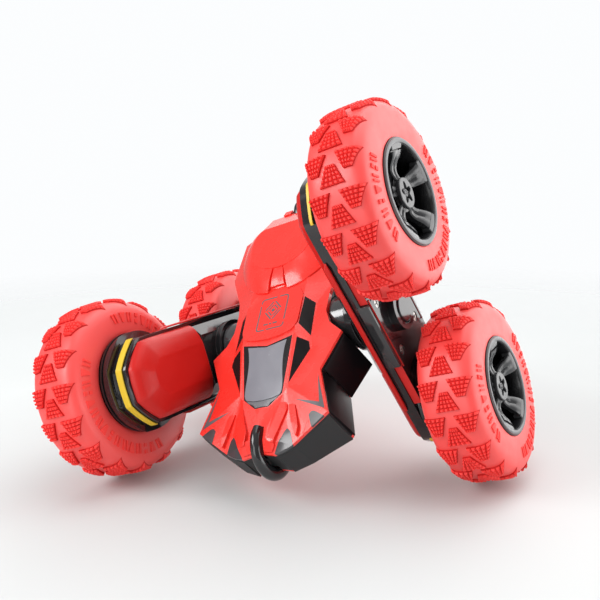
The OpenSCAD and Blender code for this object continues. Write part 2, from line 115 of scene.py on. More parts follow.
def maprange(nt, fac, a, b, lo, hi):
    m = nt.nodes.new("ShaderNodeMapRange")
    m.inputs["From Min"].default_value = a
    m.inputs["From Max"].default_value = b
    m.inputs["To Min"].default_value = lo
    m.inputs["To Max"].default_value = hi
    nt.links.new(fac, m.inputs["Value"])
    return m.outputs["Result"]


def mix(nt, fac, a, b, mode="MIX"):
    m = nt.nodes.new("ShaderNodeMix")
    m.data_type = "RGBA"
    m.blend_type = mode
    if isinstance(fac, float):
        m.inputs["Factor"].default_value = fac
    else:
        nt.links.new(fac, m.inputs["Factor"])
    for key, v in ((6, a), (7, b)):
        if isinstance(v, (tuple, list)):
            m.inputs[key].default_value = (*v, 1)
        else:
            nt.links.new(v, m.inputs[key])
    return m.outputs[2]


def bump(nt, b, height, strength, dist):
    n = nt.nodes.new("ShaderNodeBump")
    n.inputs["Strength"].default_value = strength
    n.inputs["Distance"].default_value = dist
    nt.links.new(height, n.inputs["Height"])
    nt.links.new(n.outputs["Normal"], b.inputs["Normal"])
    return n


def plastic(name, col, rough, grain=1100.0, grain_depth=0.15, vary=0.06, coat=0.0, spec=0.5, edge=0.25,
            rough_var=0.06, sss=0.0):
    """Moulded plastic: fine moulding grain, slow colour and gloss drift, and a paler colour on sharp convex edges."""
    m, nt, b = new_mat(name)
    slow = noise(nt, 38.0, 2.0)
    dark = tuple(c * (1 - vary) for c in col)
    light = tuple(min(1.0, c * (1 + vary)) for c in col)
    base = ramp(nt, slow, [(0.3, dark), (0.7, light)])
    if edge:
        # Paler colour where pointiness is high, on sharp convex edges.
        geo = nt.nodes.new("ShaderNodeNewGeometry")
        edge_pale = maprange(nt, geo.outputs["Pointiness"], 0.52, 0.60, 0.0, edge)
        pale = tuple(min(1.0, c * 1.25 + 0.03) for c in col)
        base = mix(nt, edge_pale, base, pale)
    nt.links.new(base, b.inputs["Base Color"])
    fine = noise(nt, grain, 2.0, 0.5)
    scuff = noise(nt, 160.0, 4.0, 0.6)
    nt.links.new(maprange(nt, scuff, 0.35, 0.7, rough - rough_var, rough + rough_var), b.inputs["Roughness"])
    bump(nt, b, fine, grain_depth, 0.00005)
    b.inputs["Specular IOR Level"].default_value = spec
    if coat:
        b.inputs["Coat Weight"].default_value = coat
        b.inputs["Coat Roughness"].default_value = 0.08
    if sss:
        b.inputs["Subsurface Weight"].default_value = sss
        b.inputs["Subsurface Radius"].default_value = (0.004, 0.001, 0.0008)
        b.inputs["Subsurface Scale"].default_value = 0.5
    return m


M = {}
M["red_gloss"] = plastic("red_gloss_plastic", (0.86, 0.030, 0.020), 0.27, grain_depth=0.06, vary=0.03, coat=0.25, edge=0.5)
# Arm red: a darker copy of red_gloss; the lower base colour is painted shade for the shaded faces of the arms.
M["red_arm"] = plastic("red_arm_painted_shade_plastic", (0.54, 0.013, 0.010), 0.36, grain_depth=0.06, vary=0.03, spec=0.26, edge=0.4)
M["black_gloss"] = plastic("black_gloss_plastic", (0.011, 0.0105, 0.012), 0.14, grain_depth=0.05, coat=0.3, edge=0.8)
M["black_matt"] = plastic("black_matt_plastic", (0.020, 0.020, 0.021), 0.52, grain=900, grain_depth=0.35, edge=0.8)
M["decal_grey"] = plastic("grey_print", (0.115, 0.112, 0.120), 0.35, grain_depth=0.08, edge=0.0)
M["screen_light"] = plastic("windscreen_silver", (0.190, 0.193, 0.222), 0.22, grain_depth=0.05, coat=0.5, edge=0.0)
M["screen_dark"] = plastic("windscreen_grey", (0.115, 0.118, 0.130), 0.25, grain_depth=0.05, coat=0.4, edge=0.0)
M["window_black"] = plastic("window_black", (0.008, 0.0065, 0.007), 0.30, grain_depth=0.05, spec=0.12, edge=0.1)
M["tooth_grey"] = plastic("tooth_grey", (0.045, 0.044, 0.048), 0.22, grain_depth=0.06, coat=0.3, edge=0.4)
M["rim_grey"] = plastic("rim_spoke_plastic", (0.030, 0.031, 0.034), 0.24, grain=1500, grain_depth=0.12, edge=0.6, spec=0.7)
M["rim_ring"] = plastic("rim_ring_plastic", (0.095, 0.096, 0.102), 0.32, grain=1500, grain_depth=0.18, edge=0.4, spec=0.5)
M["tyre_lug"] = plastic("red_lug_rubber", (0.86, 0.040, 0.034), 0.60, grain=1400, grain_depth=0.25, vary=0.03, spec=0.25, edge=0.45)
# Groove red: darker than the tyre red as painted shade in the grooves between the tread knobs.
M["tyre_groove_shade"] = plastic("red_groove_painted_shade", (0.56, 0.016, 0.015), 0.70, grain=1400, grain_depth=0.25, vary=0.03, spec=0.15, edge=0.0)
M["barrel"] = plastic("hub_black_plastic", (0.022, 0.022, 0.024), 0.16, grain_depth=0.05, coat=0.7, spec=0.8, edge=0.8)
M["rim_black"] = plastic("rim_black_plastic", (0.009, 0.009, 0.010), 0.22, grain_depth=0.05, edge=0.4)
M["tyre"] = plastic("red_tyre_rubber", (0.88, 0.062, 0.056), 0.46, grain=1400, grain_depth=0.30, vary=0.03, spec=0.75,
                    edge=0.30, rough_var=0.05, sss=0.06)
M["yellow"] = plastic("yellow_stripe", (0.72, 0.52, 0.035), 0.42, grain_depth=0.15, edge=0.0)
M["nylon"] = plastic("nylon_natural", (0.72, 0.68, 0.56), 0.40, grain_depth=0.1, edge=0.1, sss=0.1)
M["gearbox"] = plastic("gearbox_grey", (0.20, 0.20, 0.21), 0.5, grain_depth=0.3)
M["cell"] = plastic("cell_wrap_blue", (0.035, 0.11, 0.40), 0.25, grain_depth=0.05, coat=0.4)
M["rim_edge"] = plastic("rim_dark_edge", (0.02, 0.02, 0.022), 0.35, grain_depth=0.1)


def steel(name, col, rough):
    m, nt, b = new_mat(name)
    b.inputs["Metallic"].default_value = 1.0
    s = noise(nt, 400.0, 4.0, 0.6)
    nt.links.new(ramp(nt, s, [(0.3, tuple(c * 0.86 for c in col)), (0.7, col)]), b.inputs["Base Color"])
    nt.links.new(maprange(nt, s, 0.3, 0.7, rough - 0.07, rough + 0.09), b.inputs["Roughness"])
    bump(nt, b, noise(nt, 2600.0, 2.0), 0.25, 0.00003)
    return m


M["steel"] = steel("screw_steel", (0.62, 0.61, 0.59), 0.30)
M["brass"] = steel("screw_pale", (0.78, 0.72, 0.60), 0.34)
M["screw_dark"] = steel("screw_dark", (0.16, 0.16, 0.165), 0.35)
M["motor_can"] = steel("motor_can", (0.58, 0.58, 0.60), 0.24)


def board():
    m, nt, b = new_mat("board_green")
    v = nt.nodes.new("ShaderNodeTexBrick")
    v.inputs["Scale"].default_value = 260.0
    v.inputs["Color1"].default_value = (0.012, 0.13, 0.045, 1)
    v.inputs["Color2"].default_value = (0.016, 0.17, 0.06, 1)
    v.inputs["Mortar"].default_value = (0.05, 0.30, 0.12, 1)
    nt.links.new(obj_coords(nt), v.inputs["Vector"])
    nt.links.new(v.outputs["Color"], b.inputs["Base Color"])
    b.inputs["Roughness"].default_value = 0.35
    return m


M["board"] = board()


def split_plastic(name, glossy, matt, axis_frame, at, col_a, col_b, shine=0.22):
    """Black moulding that is polished on its sides and textured on the bumper, split by a plane of the part."""
    m, nt, b = new_mat(name)
    d = nt.nodes.new("ShaderNodeVectorMath")
    d.operation = "DOT_PRODUCT"
    n = axis_frame.to_3x3().col[1].normalized()
    origin = axis_frame.translation
    d.inputs[1].default_value = -n
    nt.links.new(obj_coords(nt), d.inputs[0])
    off = -n.dot(origin)
    s = maprange(nt, d.outputs["Value"], off + at * 0.001 - 0.0001, off + at * 0.001 + 0.0001, 0.0, 1.0)
    nt.links.new(mix(nt, s, col_a, col_b), b.inputs["Base Color"])
    nt.links.new(maprange(nt, s, 0, 1, glossy, matt), b.inputs["Roughness"])
    fine = noise(nt, 1000.0, 3.0)
    k = nt.nodes.new("ShaderNodeMath")
    k.operation = "MULTIPLY"
    nt.links.new(fine, k.inputs[0])
    nt.links.new(maprange(nt, s, 0, 1, 0.1, 1.0), k.inputs[1])
    bump(nt, b, k.outputs[0], 0.35, 0.00008)
    nt.links.new(maprange(nt, s, 0, 1, shine, 0.22), b.inputs["Specular IOR Level"])
    return m


M["side_frame"] = split_plastic("body_black_plastic", 0.22, 0.50, BODY, 49.6, (0.010, 0.009, 0.010), (0.030, 0.030, 0.031))
M["wall_black"] = split_plastic("wall_black_plastic", 0.30, 0.50, BODY, 49.6, (0.006, 0.005, 0.006), (0.030, 0.030, 0.031), 0.09)


# ------------------------------------------------------------------ mesh helpers
def finish_mesh(me, smooth):
    me.shade_smooth()
    me.set_sharp_from_angle(angle=radians(smooth))


def piece(name, verts, faces, T, mat, body, smooth=32, bevel=0.0, seg=2, limit=35, replaces=(), fmats=None, mats=None,
          merge=1e-6, recalc=True):
    """A mesh piece from local millimetres, placed by T, riding on a body."""
    bm = bmesh.new()
    vs = [bm.verts.new(T @ Vector(v)) for v in verts]
    for i, f in enumerate(faces):
        if len(set(f)) < 3:
            continue
        try:
            fa = bm.faces.new([vs[k] for k in f])
        except ValueError:
            continue
        if fmats:
            fa.material_index = fmats[i]
    if merge:
        bmesh.ops.remove_doubles(bm, verts=bm.verts, dist=merge)
    loose = [v for v in bm.verts if not v.link_faces]
    bmesh.ops.delete(bm, geom=loose, context="VERTS")
    if recalc:
        bmesh.ops.recalc_face_normals(bm, faces=bm.faces)
    elif T.to_3x3().determinant() < 0:
        bmesh.ops.reverse_faces(bm, faces=bm.faces)
    me = bpy.data.meshes.new(name)
    bm.to_mesh(me)
    bm.free()
    for k in (mats or [mat]):
        me.materials.append(M[k])
    finish_mesh(me, smooth)
    o = bpy.data.objects.new(name, me)
    bpy.context.scene.collection.objects.link(o)
    if bevel:
        add_bevel(o, bevel, seg, limit)
    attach(o, body)
    if replaces:
        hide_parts(*replaces)
    return o


def add_bevel(o, width, seg=2, limit=35):
    m = o.modifiers.new("edge", "BEVEL")
    m.width = width * 0.001
    m.segments = seg
    m.limit_method = "ANGLE"
    m.angle_limit = radians(limit)
    m.harden_normals = False
    m.use_clamp_overlap = True
    w = o.modifiers.new("shade", "WEIGHTED_NORMAL")
    w.keep_sharp = True


def facet_gain(a):
    """How much further out an eight-sided end reaches than a round one, at angle a from the end's own direction."""
    d = ((a + pi / 8) % (pi / 4)) - pi / 8
    return 1 + 0.62 * (1 / cos(d) - 1)


def faceted_end(T):
    """Turns the round ends of an arm moulding into eight-sided ones, leaving its bores alone."""
    inv = T.inverted()

    def f(co):
        v = inv @ co
        y = abs(v.y) - REACH
        r = math.hypot(y, v.z)
        if y <= 0 or v.x > 47.1 or r < 14.6:
            return co
        k = 1 + (facet_gain(math.atan2(v.z, y)) - 1) * min(1.0, (r - 14.6) / 2)
        return T @ Vector((v.x, math.copysign(REACH + y * k, v.y), v.z * k))
    return f


def span(points):
    return [(min(p[k] for p in points), max(p[k] for p in points)) for k in range(3)]


def refine(node, mat, width=0.25, seg=2, limit=30, smooth=32, body=None, dissolve=1.0, warp=None):
    """The CAD node's own surface with rounded edges and clean shading, shown in its place."""
    src = nodes[node]
    size = span([v.co for v in src.data.vertices])
    o = None
    for clean, edge in ((dissolve, width), (0.2, width * 0.6), (0.0, width * 0.4), (0.0, 0.0)):
        bm = bmesh.new()
        bm.from_mesh(src.data)
        bmesh.ops.remove_doubles(bm, verts=bm.verts, dist=3e-6)
        if clean:
            bmesh.ops.dissolve_limit(bm, angle_limit=radians(clean), verts=bm.verts, edges=bm.edges)
        bm.verts.ensure_lookup_table()
        verts = [v.co.copy() for v in bm.verts]
        faces = [[v.index for v in f.verts] for f in bm.faces]
        bm.free()
        me = bpy.data.meshes.new(node + "_skin")
        me.from_pydata(verts, [], faces)
        me.materials.append(M[mat])
        finish_mesh(me, smooth)
        o = bpy.data.objects.new(node + "_skin", me)
        bpy.context.scene.collection.objects.link(o)
        if not edge:
            break
        add_bevel(o, edge, seg, limit)
        shown = bpy.data.meshes.new_from_object(o.evaluated_get(bpy.context.evaluated_depsgraph_get()))
        now = span([v.co for v in shown.vertices])
        if all(now[k][0] > size[k][0] - 1e-4 and now[k][1] < size[k][1] + 1e-4 for k in range(3)):
            if warp:
                o.modifiers.clear()
                o.data = shown
                for v in shown.vertices:
                    v.co = warp(v.co)
                finish_mesh(shown, smooth)
            break
        bpy.data.objects.remove(o)
    o.name = node + "_skin"
    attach(o, body or src["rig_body"])
    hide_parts(node)
    return o


def paint(node, mat):
    """A CAD node kept as it is, in a better material."""
    o = nodes[node]
    if not o.material_slots:
        o.data.materials.append(M[mat])
    for s in o.material_slots:
        s.material = M[mat]


def revolve(profile, n, x_axis=True):
    """Closed profile of (radius, x) turned about local X. Returns verts, faces."""
    verts, faces = [], []
    k = len(profile)
    for i in range(n):
        a = 2 * pi * i / n
        for r, x in profile:
            verts.append((x, r * cos(a), r * sin(a)))
    for i in range(n):
        j = (i + 1) % n
        for p in range(k):
            q = (p + 1) % k
            faces.append((i * k + p, i * k + q, j * k + q, j * k + p))
    return verts, faces


def add(dst, src, mat_list=None, mat=0):
    n = len(dst[0])
    dst[0].extend(src[0])
    dst[1].extend([tuple(v + n for v in f) for f in src[1]])
    if mat_list is not None:
        mat_list.extend([mat] * len(src[1]))


def smooth_curve(pts, per=4, closed=False):
    """Catmull-Rom through points of any dimension."""
    out = []
    n = len(pts)
    rng = range(n if closed else n - 1)
    for i in rng:
        p0 = pts[(i - 1) % n] if closed or i > 0 else pts[i]
        p1 = pts[i]
        p2 = pts[(i + 1) % n]
        p3 = pts[(i + 2) % n] if closed or i + 2 < n else pts[(i + 1) % n]
        for k in range(per):
            t = k / per
            out.append(tuple(0.5 * (2 * b + (c - a) * t + (2 * a - 5 * b + 4 * c - d) * t * t
                                    + (3 * b - a - 3 * c + d) * t ** 3)
                             for a, b, c, d in zip(p0, p1, p2, p3)))
    if not closed:
        out.append(tuple(pts[-1]))
    return out


# ------------------------------------------------------------------ camera, light, floor
cam = bpy.data.cameras.new("camera")
cam.lens = 50.72
cam.sensor_width = 36.0
cam.clip_start = 0.01
camera = bpy.data.objects.new("camera", cam)
camera.matrix_world = Matrix(((0.867247, -0.083754, 0.490782, 0.170391),
                              (0.497776, 0.165729, -0.851324, -0.303326),
                              (-0.010035, 0.982608, 0.185419, 0.138016),
                              (0, 0, 0, 1)))
bpy.context.scene.collection.objects.link(camera)
bpy.context.scene.camera = camera
bpy.context.scene.view_settings.view_transform = "Standard"
bpy.context.scene.view_settings.look = "None"

world = bpy.data.worlds.new("studio")
bpy.context.scene.world = world
world.use_nodes = True
wt = world.node_tree
wt.nodes.clear()


def world_bump(direction, lo, hi, gain):
    """Brightness that rises where the sky direction turns towards direction."""
    tc = wt.nodes.new("ShaderNodeTexCoord")
    d = wt.nodes.new("ShaderNodeVectorMath")
    d.operation = "DOT_PRODUCT"
    wt.links.new(tc.outputs["Generated"], d.inputs[0])
    d.inputs[1].default_value = Vector(direction).normalized()
    m = wt.nodes.new("ShaderNodeMapRange")
    m.interpolation_type = "SMOOTHSTEP"
    m.inputs["From Min"].default_value = lo
    m.inputs["From Max"].default_value = hi
    m.inputs["To Min"].default_value = 0.0
    m.inputs["To Max"].default_value = gain
    wt.links.new(d.outputs["Value"], m.inputs["Value"])
    return m.outputs["Result"]


total = None
for part in (world_bump((0.30, 0.93, 0.18), 0.30, 0.85, 2.3), world_bump((0, 0, 1), 0.2, 1.0, 0.25)):
    a = wt.nodes.new("ShaderNodeMath")
    a.operation = "ADD"
    wt.links.new(part, a.inputs[0])
    if total is None:
        a.inputs[1].default_value = 0.32
    else:
        wt.links.new(total, a.inputs[1])
    total = a.outputs[0]
glow = wt.nodes.new("ShaderNodeBackground")
glow.inputs["Color"].default_value = (1.0, 0.99, 0.985, 1)
wt.links.new(total, glow.inputs["Strength"])
plain = wt.nodes.new("ShaderNodeBackground")
plain.inputs["Color"].default_value = (0.972, 0.985, 0.995, 1)
plain.inputs["Strength"].default_value = 1.0
path = wt.nodes.new("ShaderNodeLightPath")
both = wt.nodes.new("ShaderNodeMixShader")
wt.links.new(path.outputs["Is Camera Ray"], both.inputs[0])
wt.links.new(glow.outputs[0], both.inputs[1])
wt.links.new(plain.outputs[0], both.inputs[2])
wout = wt.nodes.new("ShaderNodeOutputWorld")
wt.links.new(both.outputs[0], wout.inputs[0])


def area(name, loc, target, size, power, color=(1, 1, 1), size_y=None):
    d = bpy.data.lights.new(name, "AREA")
    d.energy = power
    d.color = color
    d.shape = "RECTANGLE"
    d.size = size
    d.size_y = size_y or size
    o = bpy.data.objects.new(name, d)
    o.location = loc
    o.rotation_euler = (Vector(target) - Vector(loc)).to_track_quat("-Z", "Y").to_euler()
    bpy.context.scene.collection.objects.link(o)
    return o


area("softbox", (-0.46, -0.60, 0.50), (0, 0, 0.06), 0.50, 4.6, size_y=0.34)
area("top", (0.05, 0.05, 0.85), (0, 0, 0.05), 0.6, 1.9)
area("right_fill", (0.85, 0.05, 0.13), (0.05, 0, 0.08), 0.45, 1.8)
area("front_fill", (-0.06, -0.85, 0.20), (0.04, 0, 0.07), 0.5, 2.2)


def floor():
    me = bpy.data.meshes.new("floor")
    n, rings = 96, [0.0, 0.25, 0.6, 1.2, 3.0, 9.0]
    verts, faces = [(0, 0, 0)], []
    for r in rings[1:]:
        verts += [(r * cos(2 * pi * i / n), r * sin(2 * pi * i / n), 0) for i in range(n)]
    for i in range(n):
        faces.append((0, 1 + i, 1 + (i + 1) % n))
    for k in range(len(rings) - 2):
        a, b = 1 + k * n, 1 + (k + 1) * n
        for i in range(n):
            j = (i + 1) % n
            faces.append((a + i, b + i, b + j, a + j))
    me.from_pydata(verts, [], faces)
    m, nt, b = new_mat("studio_floor")
    g = nt.nodes.new("ShaderNodeVectorMath")
    g.operation = "LENGTH"
    nt.links.new(obj_coords(nt), g.inputs[0])
    slow = noise(nt, 6.0, 2.0)
    nt.links.new(ramp(nt, slow, [(0.3, (0.595, 0.622, 0.622)), (0.7, (0.622, 0.650, 0.650))]), b.inputs["Base Color"])
    b.inputs["Roughness"].default_value = 0.6
    b.inputs["Specular IOR Level"].default_value = 0.15
    t = nt.nodes.new("ShaderNodeBsdfTransparent")
    x = nt.nodes.new("ShaderNodeMixShader")
    nt.links.new(maprange(nt, g.outputs["Value"], 0.20, 0.62, 0.0, 1.0), x.inputs[0])
    nt.links.new(b.outputs[0], x.inputs[1])
    nt.links.new(t.outputs[0], x.inputs[2])
    nt.links.new(x.outputs[0], nt.nodes["Material Output"].inputs[0])
    me.materials.append(m)
    o = bpy.data.objects.new("floor", me)
    o.location = (0, 0, -0.0003)
    bpy.context.scene.collection.objects.link(o)


floor()

# ------------------------------------------------------------------ tyres
HW = 12.45
LUGS = 16
PITCH = 2 * pi / LUGS


def interp(table, x):
    for (x0, y0), (x1, y1) in zip(table, table[1:]):
        if x <= x1:
            return y0 + (y1 - y0) * (x - x0) / (x1 - x0)
    return table[-1][1]


SHOULDER = [(0.0, 35.15), (4.0, 35.1), (6.5, 34.95), (8.3, 34.6), (9.6, 34.0), (10.7, 33.0), (11.4, 31.8), (11.8, 30.2)]


def carcass_r(x):
    return interp(SHOULDER, abs(x))


def lug_r(x):
    return carcass_r(x) + interp([(0.0, 1.33), (8.0, 1.42), (10.4, 1.55), (12.0, 1.5)], abs(x))


def tyre_mesh(phase):
    mesh = ([], [])
    fm = []
    half = [(19.9, 10.9), (20.15, 11.5), (21.0, 11.78), (22.4, 11.9), (25.2, 12.02), (28.2, 11.98), (30.2, 11.8), (31.8, 11.4),
            (33.0, 10.7), (34.0, 9.6), (34.6, 8.3), (34.95, 6.5), (35.1, 3.8), (35.15, 0.0)]
    fine = smooth_curve(half, 3)
    out = fine + [(r, -x) for r, x in reversed(fine[:-1])]
    inner = [(20.4, -6.6), (22.6, -7.0), (23.8, -9.9), (28.5, -10.4), (31.8, -9.5), (33.1, -7.2),
             (33.1, 7.2), (31.8, 9.5), (28.5, 10.4), (23.8, 9.9), (22.6, 7.0), (20.4, 6.6)]
    add(mesh, revolve(out + inner, 128), fm, 0)
    # tread: three rows of fan-shaped lugs, each a sunk base and a grid of small knobs; the sunk base is darker red as
    # painted shade in the grooves
    length = 7.7 / 36.5

    def at(xc, a0, sgn, u, v, w0, w1, dr):
        x = xc + u * (w0 + (w1 - w0) * v)
        a = a0 + sgn * (v - 0.5) * length
        r = (lug_r(x) if dr is None else carcass_r(x) + dr)
        return (x, r * cos(a), r * sin(a))

    def slab(xc, a0, sgn, u0, u1, v0, v1, w0, w1, lo, hi, inset_u, inset_v, nu, nv):
        top, low = [], []
        for i in range(nu + 1):
            for j in range(nv + 1):
                u = u0 + (u1 - u0) * i / nu
                v = v0 + (v1 - v0) * j / nv
                low.append(at(xc, a0, sgn, u, v, w0, w1, lo))
                uu = u0 + inset_u + (u1 - u0 - 2 * inset_u) * i / nu
                vv = v0 + inset_v + (v1 - v0 - 2 * inset_v) * j / nv
                top.append(at(xc, a0, sgn, uu, vv, w0, w1, hi))
        n = len(low)
        idx = lambda i, j: i * (nv + 1) + j
        faces = []
        for i in range(nu):
            for j in range(nv):
                faces.append((n + idx(i, j), n + idx(i + 1, j), n + idx(i + 1, j + 1), n + idx(i, j + 1)))
                faces.append((idx(i, j), idx(i, j + 1), idx(i + 1, j + 1), idx(i + 1, j)))
        ring = ([idx(i, 0) for i in range(nu)] + [idx(nu, j) for j in range(nv)]
                + [idx(i, nv) for i in range(nu, 0, -1)] + [idx(0, j) for j in range(nv, 0, -1)])
        for p, q in zip(ring, ring[1:] + ring[:1]):
            faces.append((p, q, n + q, n + p))
        return low + top, faces

    for i in range(LUGS):
        for xc, off, sgn in ((-6.5, 0.0, 1), (6.5, 0.0, 1), (0.0, 0.33, -1)):
            a0 = phase + (i + off) * PITCH
            add(mesh, slab(xc, a0, sgn, -0.5, 0.5, 0.0, 1.0, 9.9, 3.2, -0.5, 0.62, 0.018, 0.018, 6, 4), fm, 2)
            cols, rows = 5, 5
            for p in range(cols):
                for q in range(rows):
                    u0 = -0.5 + (p + 0.11) / cols
                    u1 = -0.5 + (p + 0.89) / cols
                    v0 = (q + 0.12) / rows
                    v1 = (q + 0.88) / rows
                    add(mesh, slab(xc, a0, sgn, u0, u1, v0, v1, 9.9, 3.2, 0.50, None, 0.032, 0.030, 1, 1), fm, 1)
    # raised plain marks on both side walls: wedges, slashes and studs
    def mark(side, a0, quad):
        base, top = 11.5, 12.43
        cr = sum(r for r, _ in quad) / 4
        cw = sum(w for _, w in quad) / 4

        def at_(x, r, w, k):
            r, w = cr + (r - cr) * k, cw + (w - cw) * k
            a = a0 + w / 27.5
            return (side * x, r * cos(a), r * sin(a))

        vs = [at_(base, r, w, 1.0) for r, w in quad] + [at_(top, r, w, 0.9) for r, w in quad]
        return vs, [(0, 1, 5, 4), (1, 2, 6, 5), (2, 3, 7, 6), (3, 0, 4, 7), (4, 5, 6, 7), (3, 2, 1, 0)]

    LO, HI = 25.1, 29.5
    SHAPES = {"wedge": [[(LO, -0.7), (LO, 0.7), (HI, 1.5), (HI, -1.5)]],
              "slash": [[(LO, -1.4), (LO, -0.4), (HI, 0.5), (HI, -0.5)], [(LO, 0.3), (LO, 1.3), (HI, 2.2), (HI, 1.2)]],
              "bars": [[(LO, -1.3), (LO, -0.4), (HI, -0.4), (HI, -1.3)], [(LO, 0.4), (LO, 1.3), (HI, 1.3), (HI, 0.4)]],
              "studs": [[(LO, -0.8), (LO, 0.8), (LO + 1.7, 0.8), (LO + 1.7, -0.8)], [(HI - 1.7, -0.8), (HI - 1.7, 0.8), (HI, 0.8), (HI, -0.8)]],
              "block": [[(LO, -1.35), (LO, 1.35), (HI, 1.35), (HI, -1.35)]]}
    runs = [(35, ("slash", "studs", "bars", "wedge", "studs", "bars", "wedge", "slash")),
            (150, ("bars", "wedge", "slash", "studs", "wedge", "bars", "slash", "wedge", "studs", "bars", "slash", "wedge", "bars", "studs",
                   "wedge", "slash"))]
    for side in (1, -1):
        for start, names in runs:
            for k, nm in enumerate(names):
                for quad in SHAPES[nm]:
                    add(mesh, mark(side, radians(start + k * 8.3), quad), fm, 1)
    return mesh, fm


def build_tyre(end, side, phase):
    (v, f), fm = tyre_mesh(phase)
    return piece(f"{end}_{side}_tyre_tread", v, f, wheel_frame(end, side), "tyre", f"{end}_{side}_wheel", smooth=40,
                 replaces=(f"{end}_{side}_tyre",), fmats=fm, mats=["tyre", "tyre_lug", "tyre_groove_shade"], merge=0)


# ------------------------------------------------------------------ rims
def rim_mesh(spin):
    g = ([], [])
    mats = []
    lip = [(18.0, 11.95), (18.15, 12.35), (18.4, 12.5), (19.45, 12.56), (19.7, 12.46), (19.82, 12.2), (19.82, 11.2), (19.2, 10.4),
           (18.9, 10.2), (17.9, 10.6)]
    add(g, revolve(lip, 120), mats, 3)
    edge = [(19.7, 11.3), (20.1, 11.7), (20.16, 12.0), (19.9, 12.14), (19.7, 12.1)]
    add(g, revolve(edge, 120), mats, 2)
    barrel = [(18.95, 11.0), (18.2, 11.6), (17.7, 11.9), (17.35, 10.8), (17.2, 4.0), (16.9, -6.0), (16.2, -10.6), (6.0, -11.7), (3.3, -11.8),
              (3.3, -13.2), (20.6, -13.4), (20.6, -12.5), (19.6, -12.3), (19.4, 10.0)]
    add(g, revolve(barrel, 96), mats, 1)
    hub = [(3.2, -12.0), (5.6, -12.0), (5.2, 2.0), (6.4, 7.2), (6.6, 8.0), (5.0, 8.0), (3.2, 8.0)]
    add(g, revolve(hub, 64), mats, 1)
    # spokes: a bowed blade with a centre valley, then a step and a tab on the ring
    for s in range(5):
        a0 = spin + s * 2 * pi / 5
        ca, sa = cos(a0), sin(a0)

        def P(x, r, w):
            return (x, r * ca - w * sa, r * sa + w * ca)

        def loft(stations):
            vs, fs = [], []
            k = len(stations[0])
            for st in stations:
                vs += [P(*p) for p in st]
            for i in range(len(stations) - 1):
                for j in range(k):
                    jn = (j + 1) % k
                    fs.append((i * k + j, (i + 1) * k + j, (i + 1) * k + jn, i * k + jn))
            fs.append(tuple(range(k)))
            fs.append(tuple((len(stations) - 1) * k + j for j in reversed(range(k))))
            return vs, fs

        blade = []
        for i in range(13):
            t = i / 12
            r = 5.4 + (15.35 - 5.4) * t
            hw = 1.9 + 2.1 * t ** 1.3
            top = 8.9 - 1.3 * sin(pi * min(1.0, t * 1.25)) + 3.0 * t ** 1.7
            deep = top - 2.6 - 1.2 * t
            val = top - 0.75 * sin(pi * min(1, 0.15 + t * 0.8))
            blade.append([(deep, r, -hw * 0.75), (top - 0.45, r, -hw), (top, r, -hw * 0.82), (top, r, -hw * 0.30), (val, r, 0.0),
                          (top, r, hw * 0.30), (top, r, hw * 0.82), (top - 0.45, r, hw), (deep, r, hw * 0.75)])
        add(g, loft(blade), mats, 0)
        tab = []
        for r, hw, x in ((15.75, 4.15, 10.8), (15.95, 4.3, 11.6), (16.8, 4.55, 11.9), (17.9, 4.8, 12.1), (18.6, 4.9, 12.15)):
            tab.append([(8.6, r, -hw), (x - 0.25, r, -hw), (x, r, -hw + 0.3), (x, r, hw - 0.3), (x - 0.25, r, hw), (8.6, r, hw)])
        add(g, loft(tab), mats, 0)
        link = [[(8.4, r, -3.4), (10.4, r, -3.4), (10.4, r, 3.4), (8.4, r, 3.4)] for r in (14.6, 17.6)]
        add(g, loft(link), mats, 1)
    return g[0], g[1], mats


def hub_mesh(spin):
    g = ([], [])
    mats = []
    n = 96
    # face ring with a petal-shaped opening
    verts, faces = [], []
    ring_pts = []
    for i in range(n):
        a = 2 * pi * i / n
        petal = 3.15 + 1.05 * cos(5 * (a - spin)) ** 1
        ring_pts.append([(9.0, 5.78, a), (9.95, 5.78, a), (10.2, 5.5, a), (10.2, petal + 0.2, a), (10.05, petal, a), (9.0, petal, a)])
    k = 6
    for row in ring_pts:
        verts += [(x, r * cos(a), r * sin(a)) for x, r, a in row]
    for i in range(n):
        j = (i + 1) % n
        for p in range(k):
            q = (p + 1) % k
            faces.append((i * k + p, i * k + q, j * k + q, j * k + p))
    add(g, (verts, faces), mats, 0)
    add(g, revolve([(0.01, 8.05), (5.75, 8.05), (5.75, 9.05), (0.01, 9.05)], 64), mats, 1)
    head = [(0.01, 9.0), (1.5, 9.0), (1.55, 9.5), (1.3, 9.9), (0.8, 10.1), (0.01, 10.15)]
    add(g, revolve(head, 32), mats, 2)
    for a in (spin, spin + pi / 2):
        ca, sa = cos(a), sin(a)
        q = [(-1.0, -0.16), (1.0, -0.16), (1.0, 0.16), (-1.0, 0.16)]
        vs = [(x, u * ca - w * sa, u * sa + w * ca) for x in (9.9, 10.22) for u, w in q]
        add(g, (vs, [(0, 1, 2, 3), (7, 6, 5, 4), (0, 4, 5, 1), (1, 5, 6, 2), (2, 6, 7, 3), (3, 7, 4, 0)]), mats, 1)
    return g[0], g[1], mats


PHASE = {("rear", "right"): (radians(16.2), radians(-85.8 - 6)), ("front", "right"): (radians(4.0), radians(-93.0)),
         ("front", "left"): (radians(14.3), radians(20)), ("rear", "left"): (radians(9.0), radians(50))}

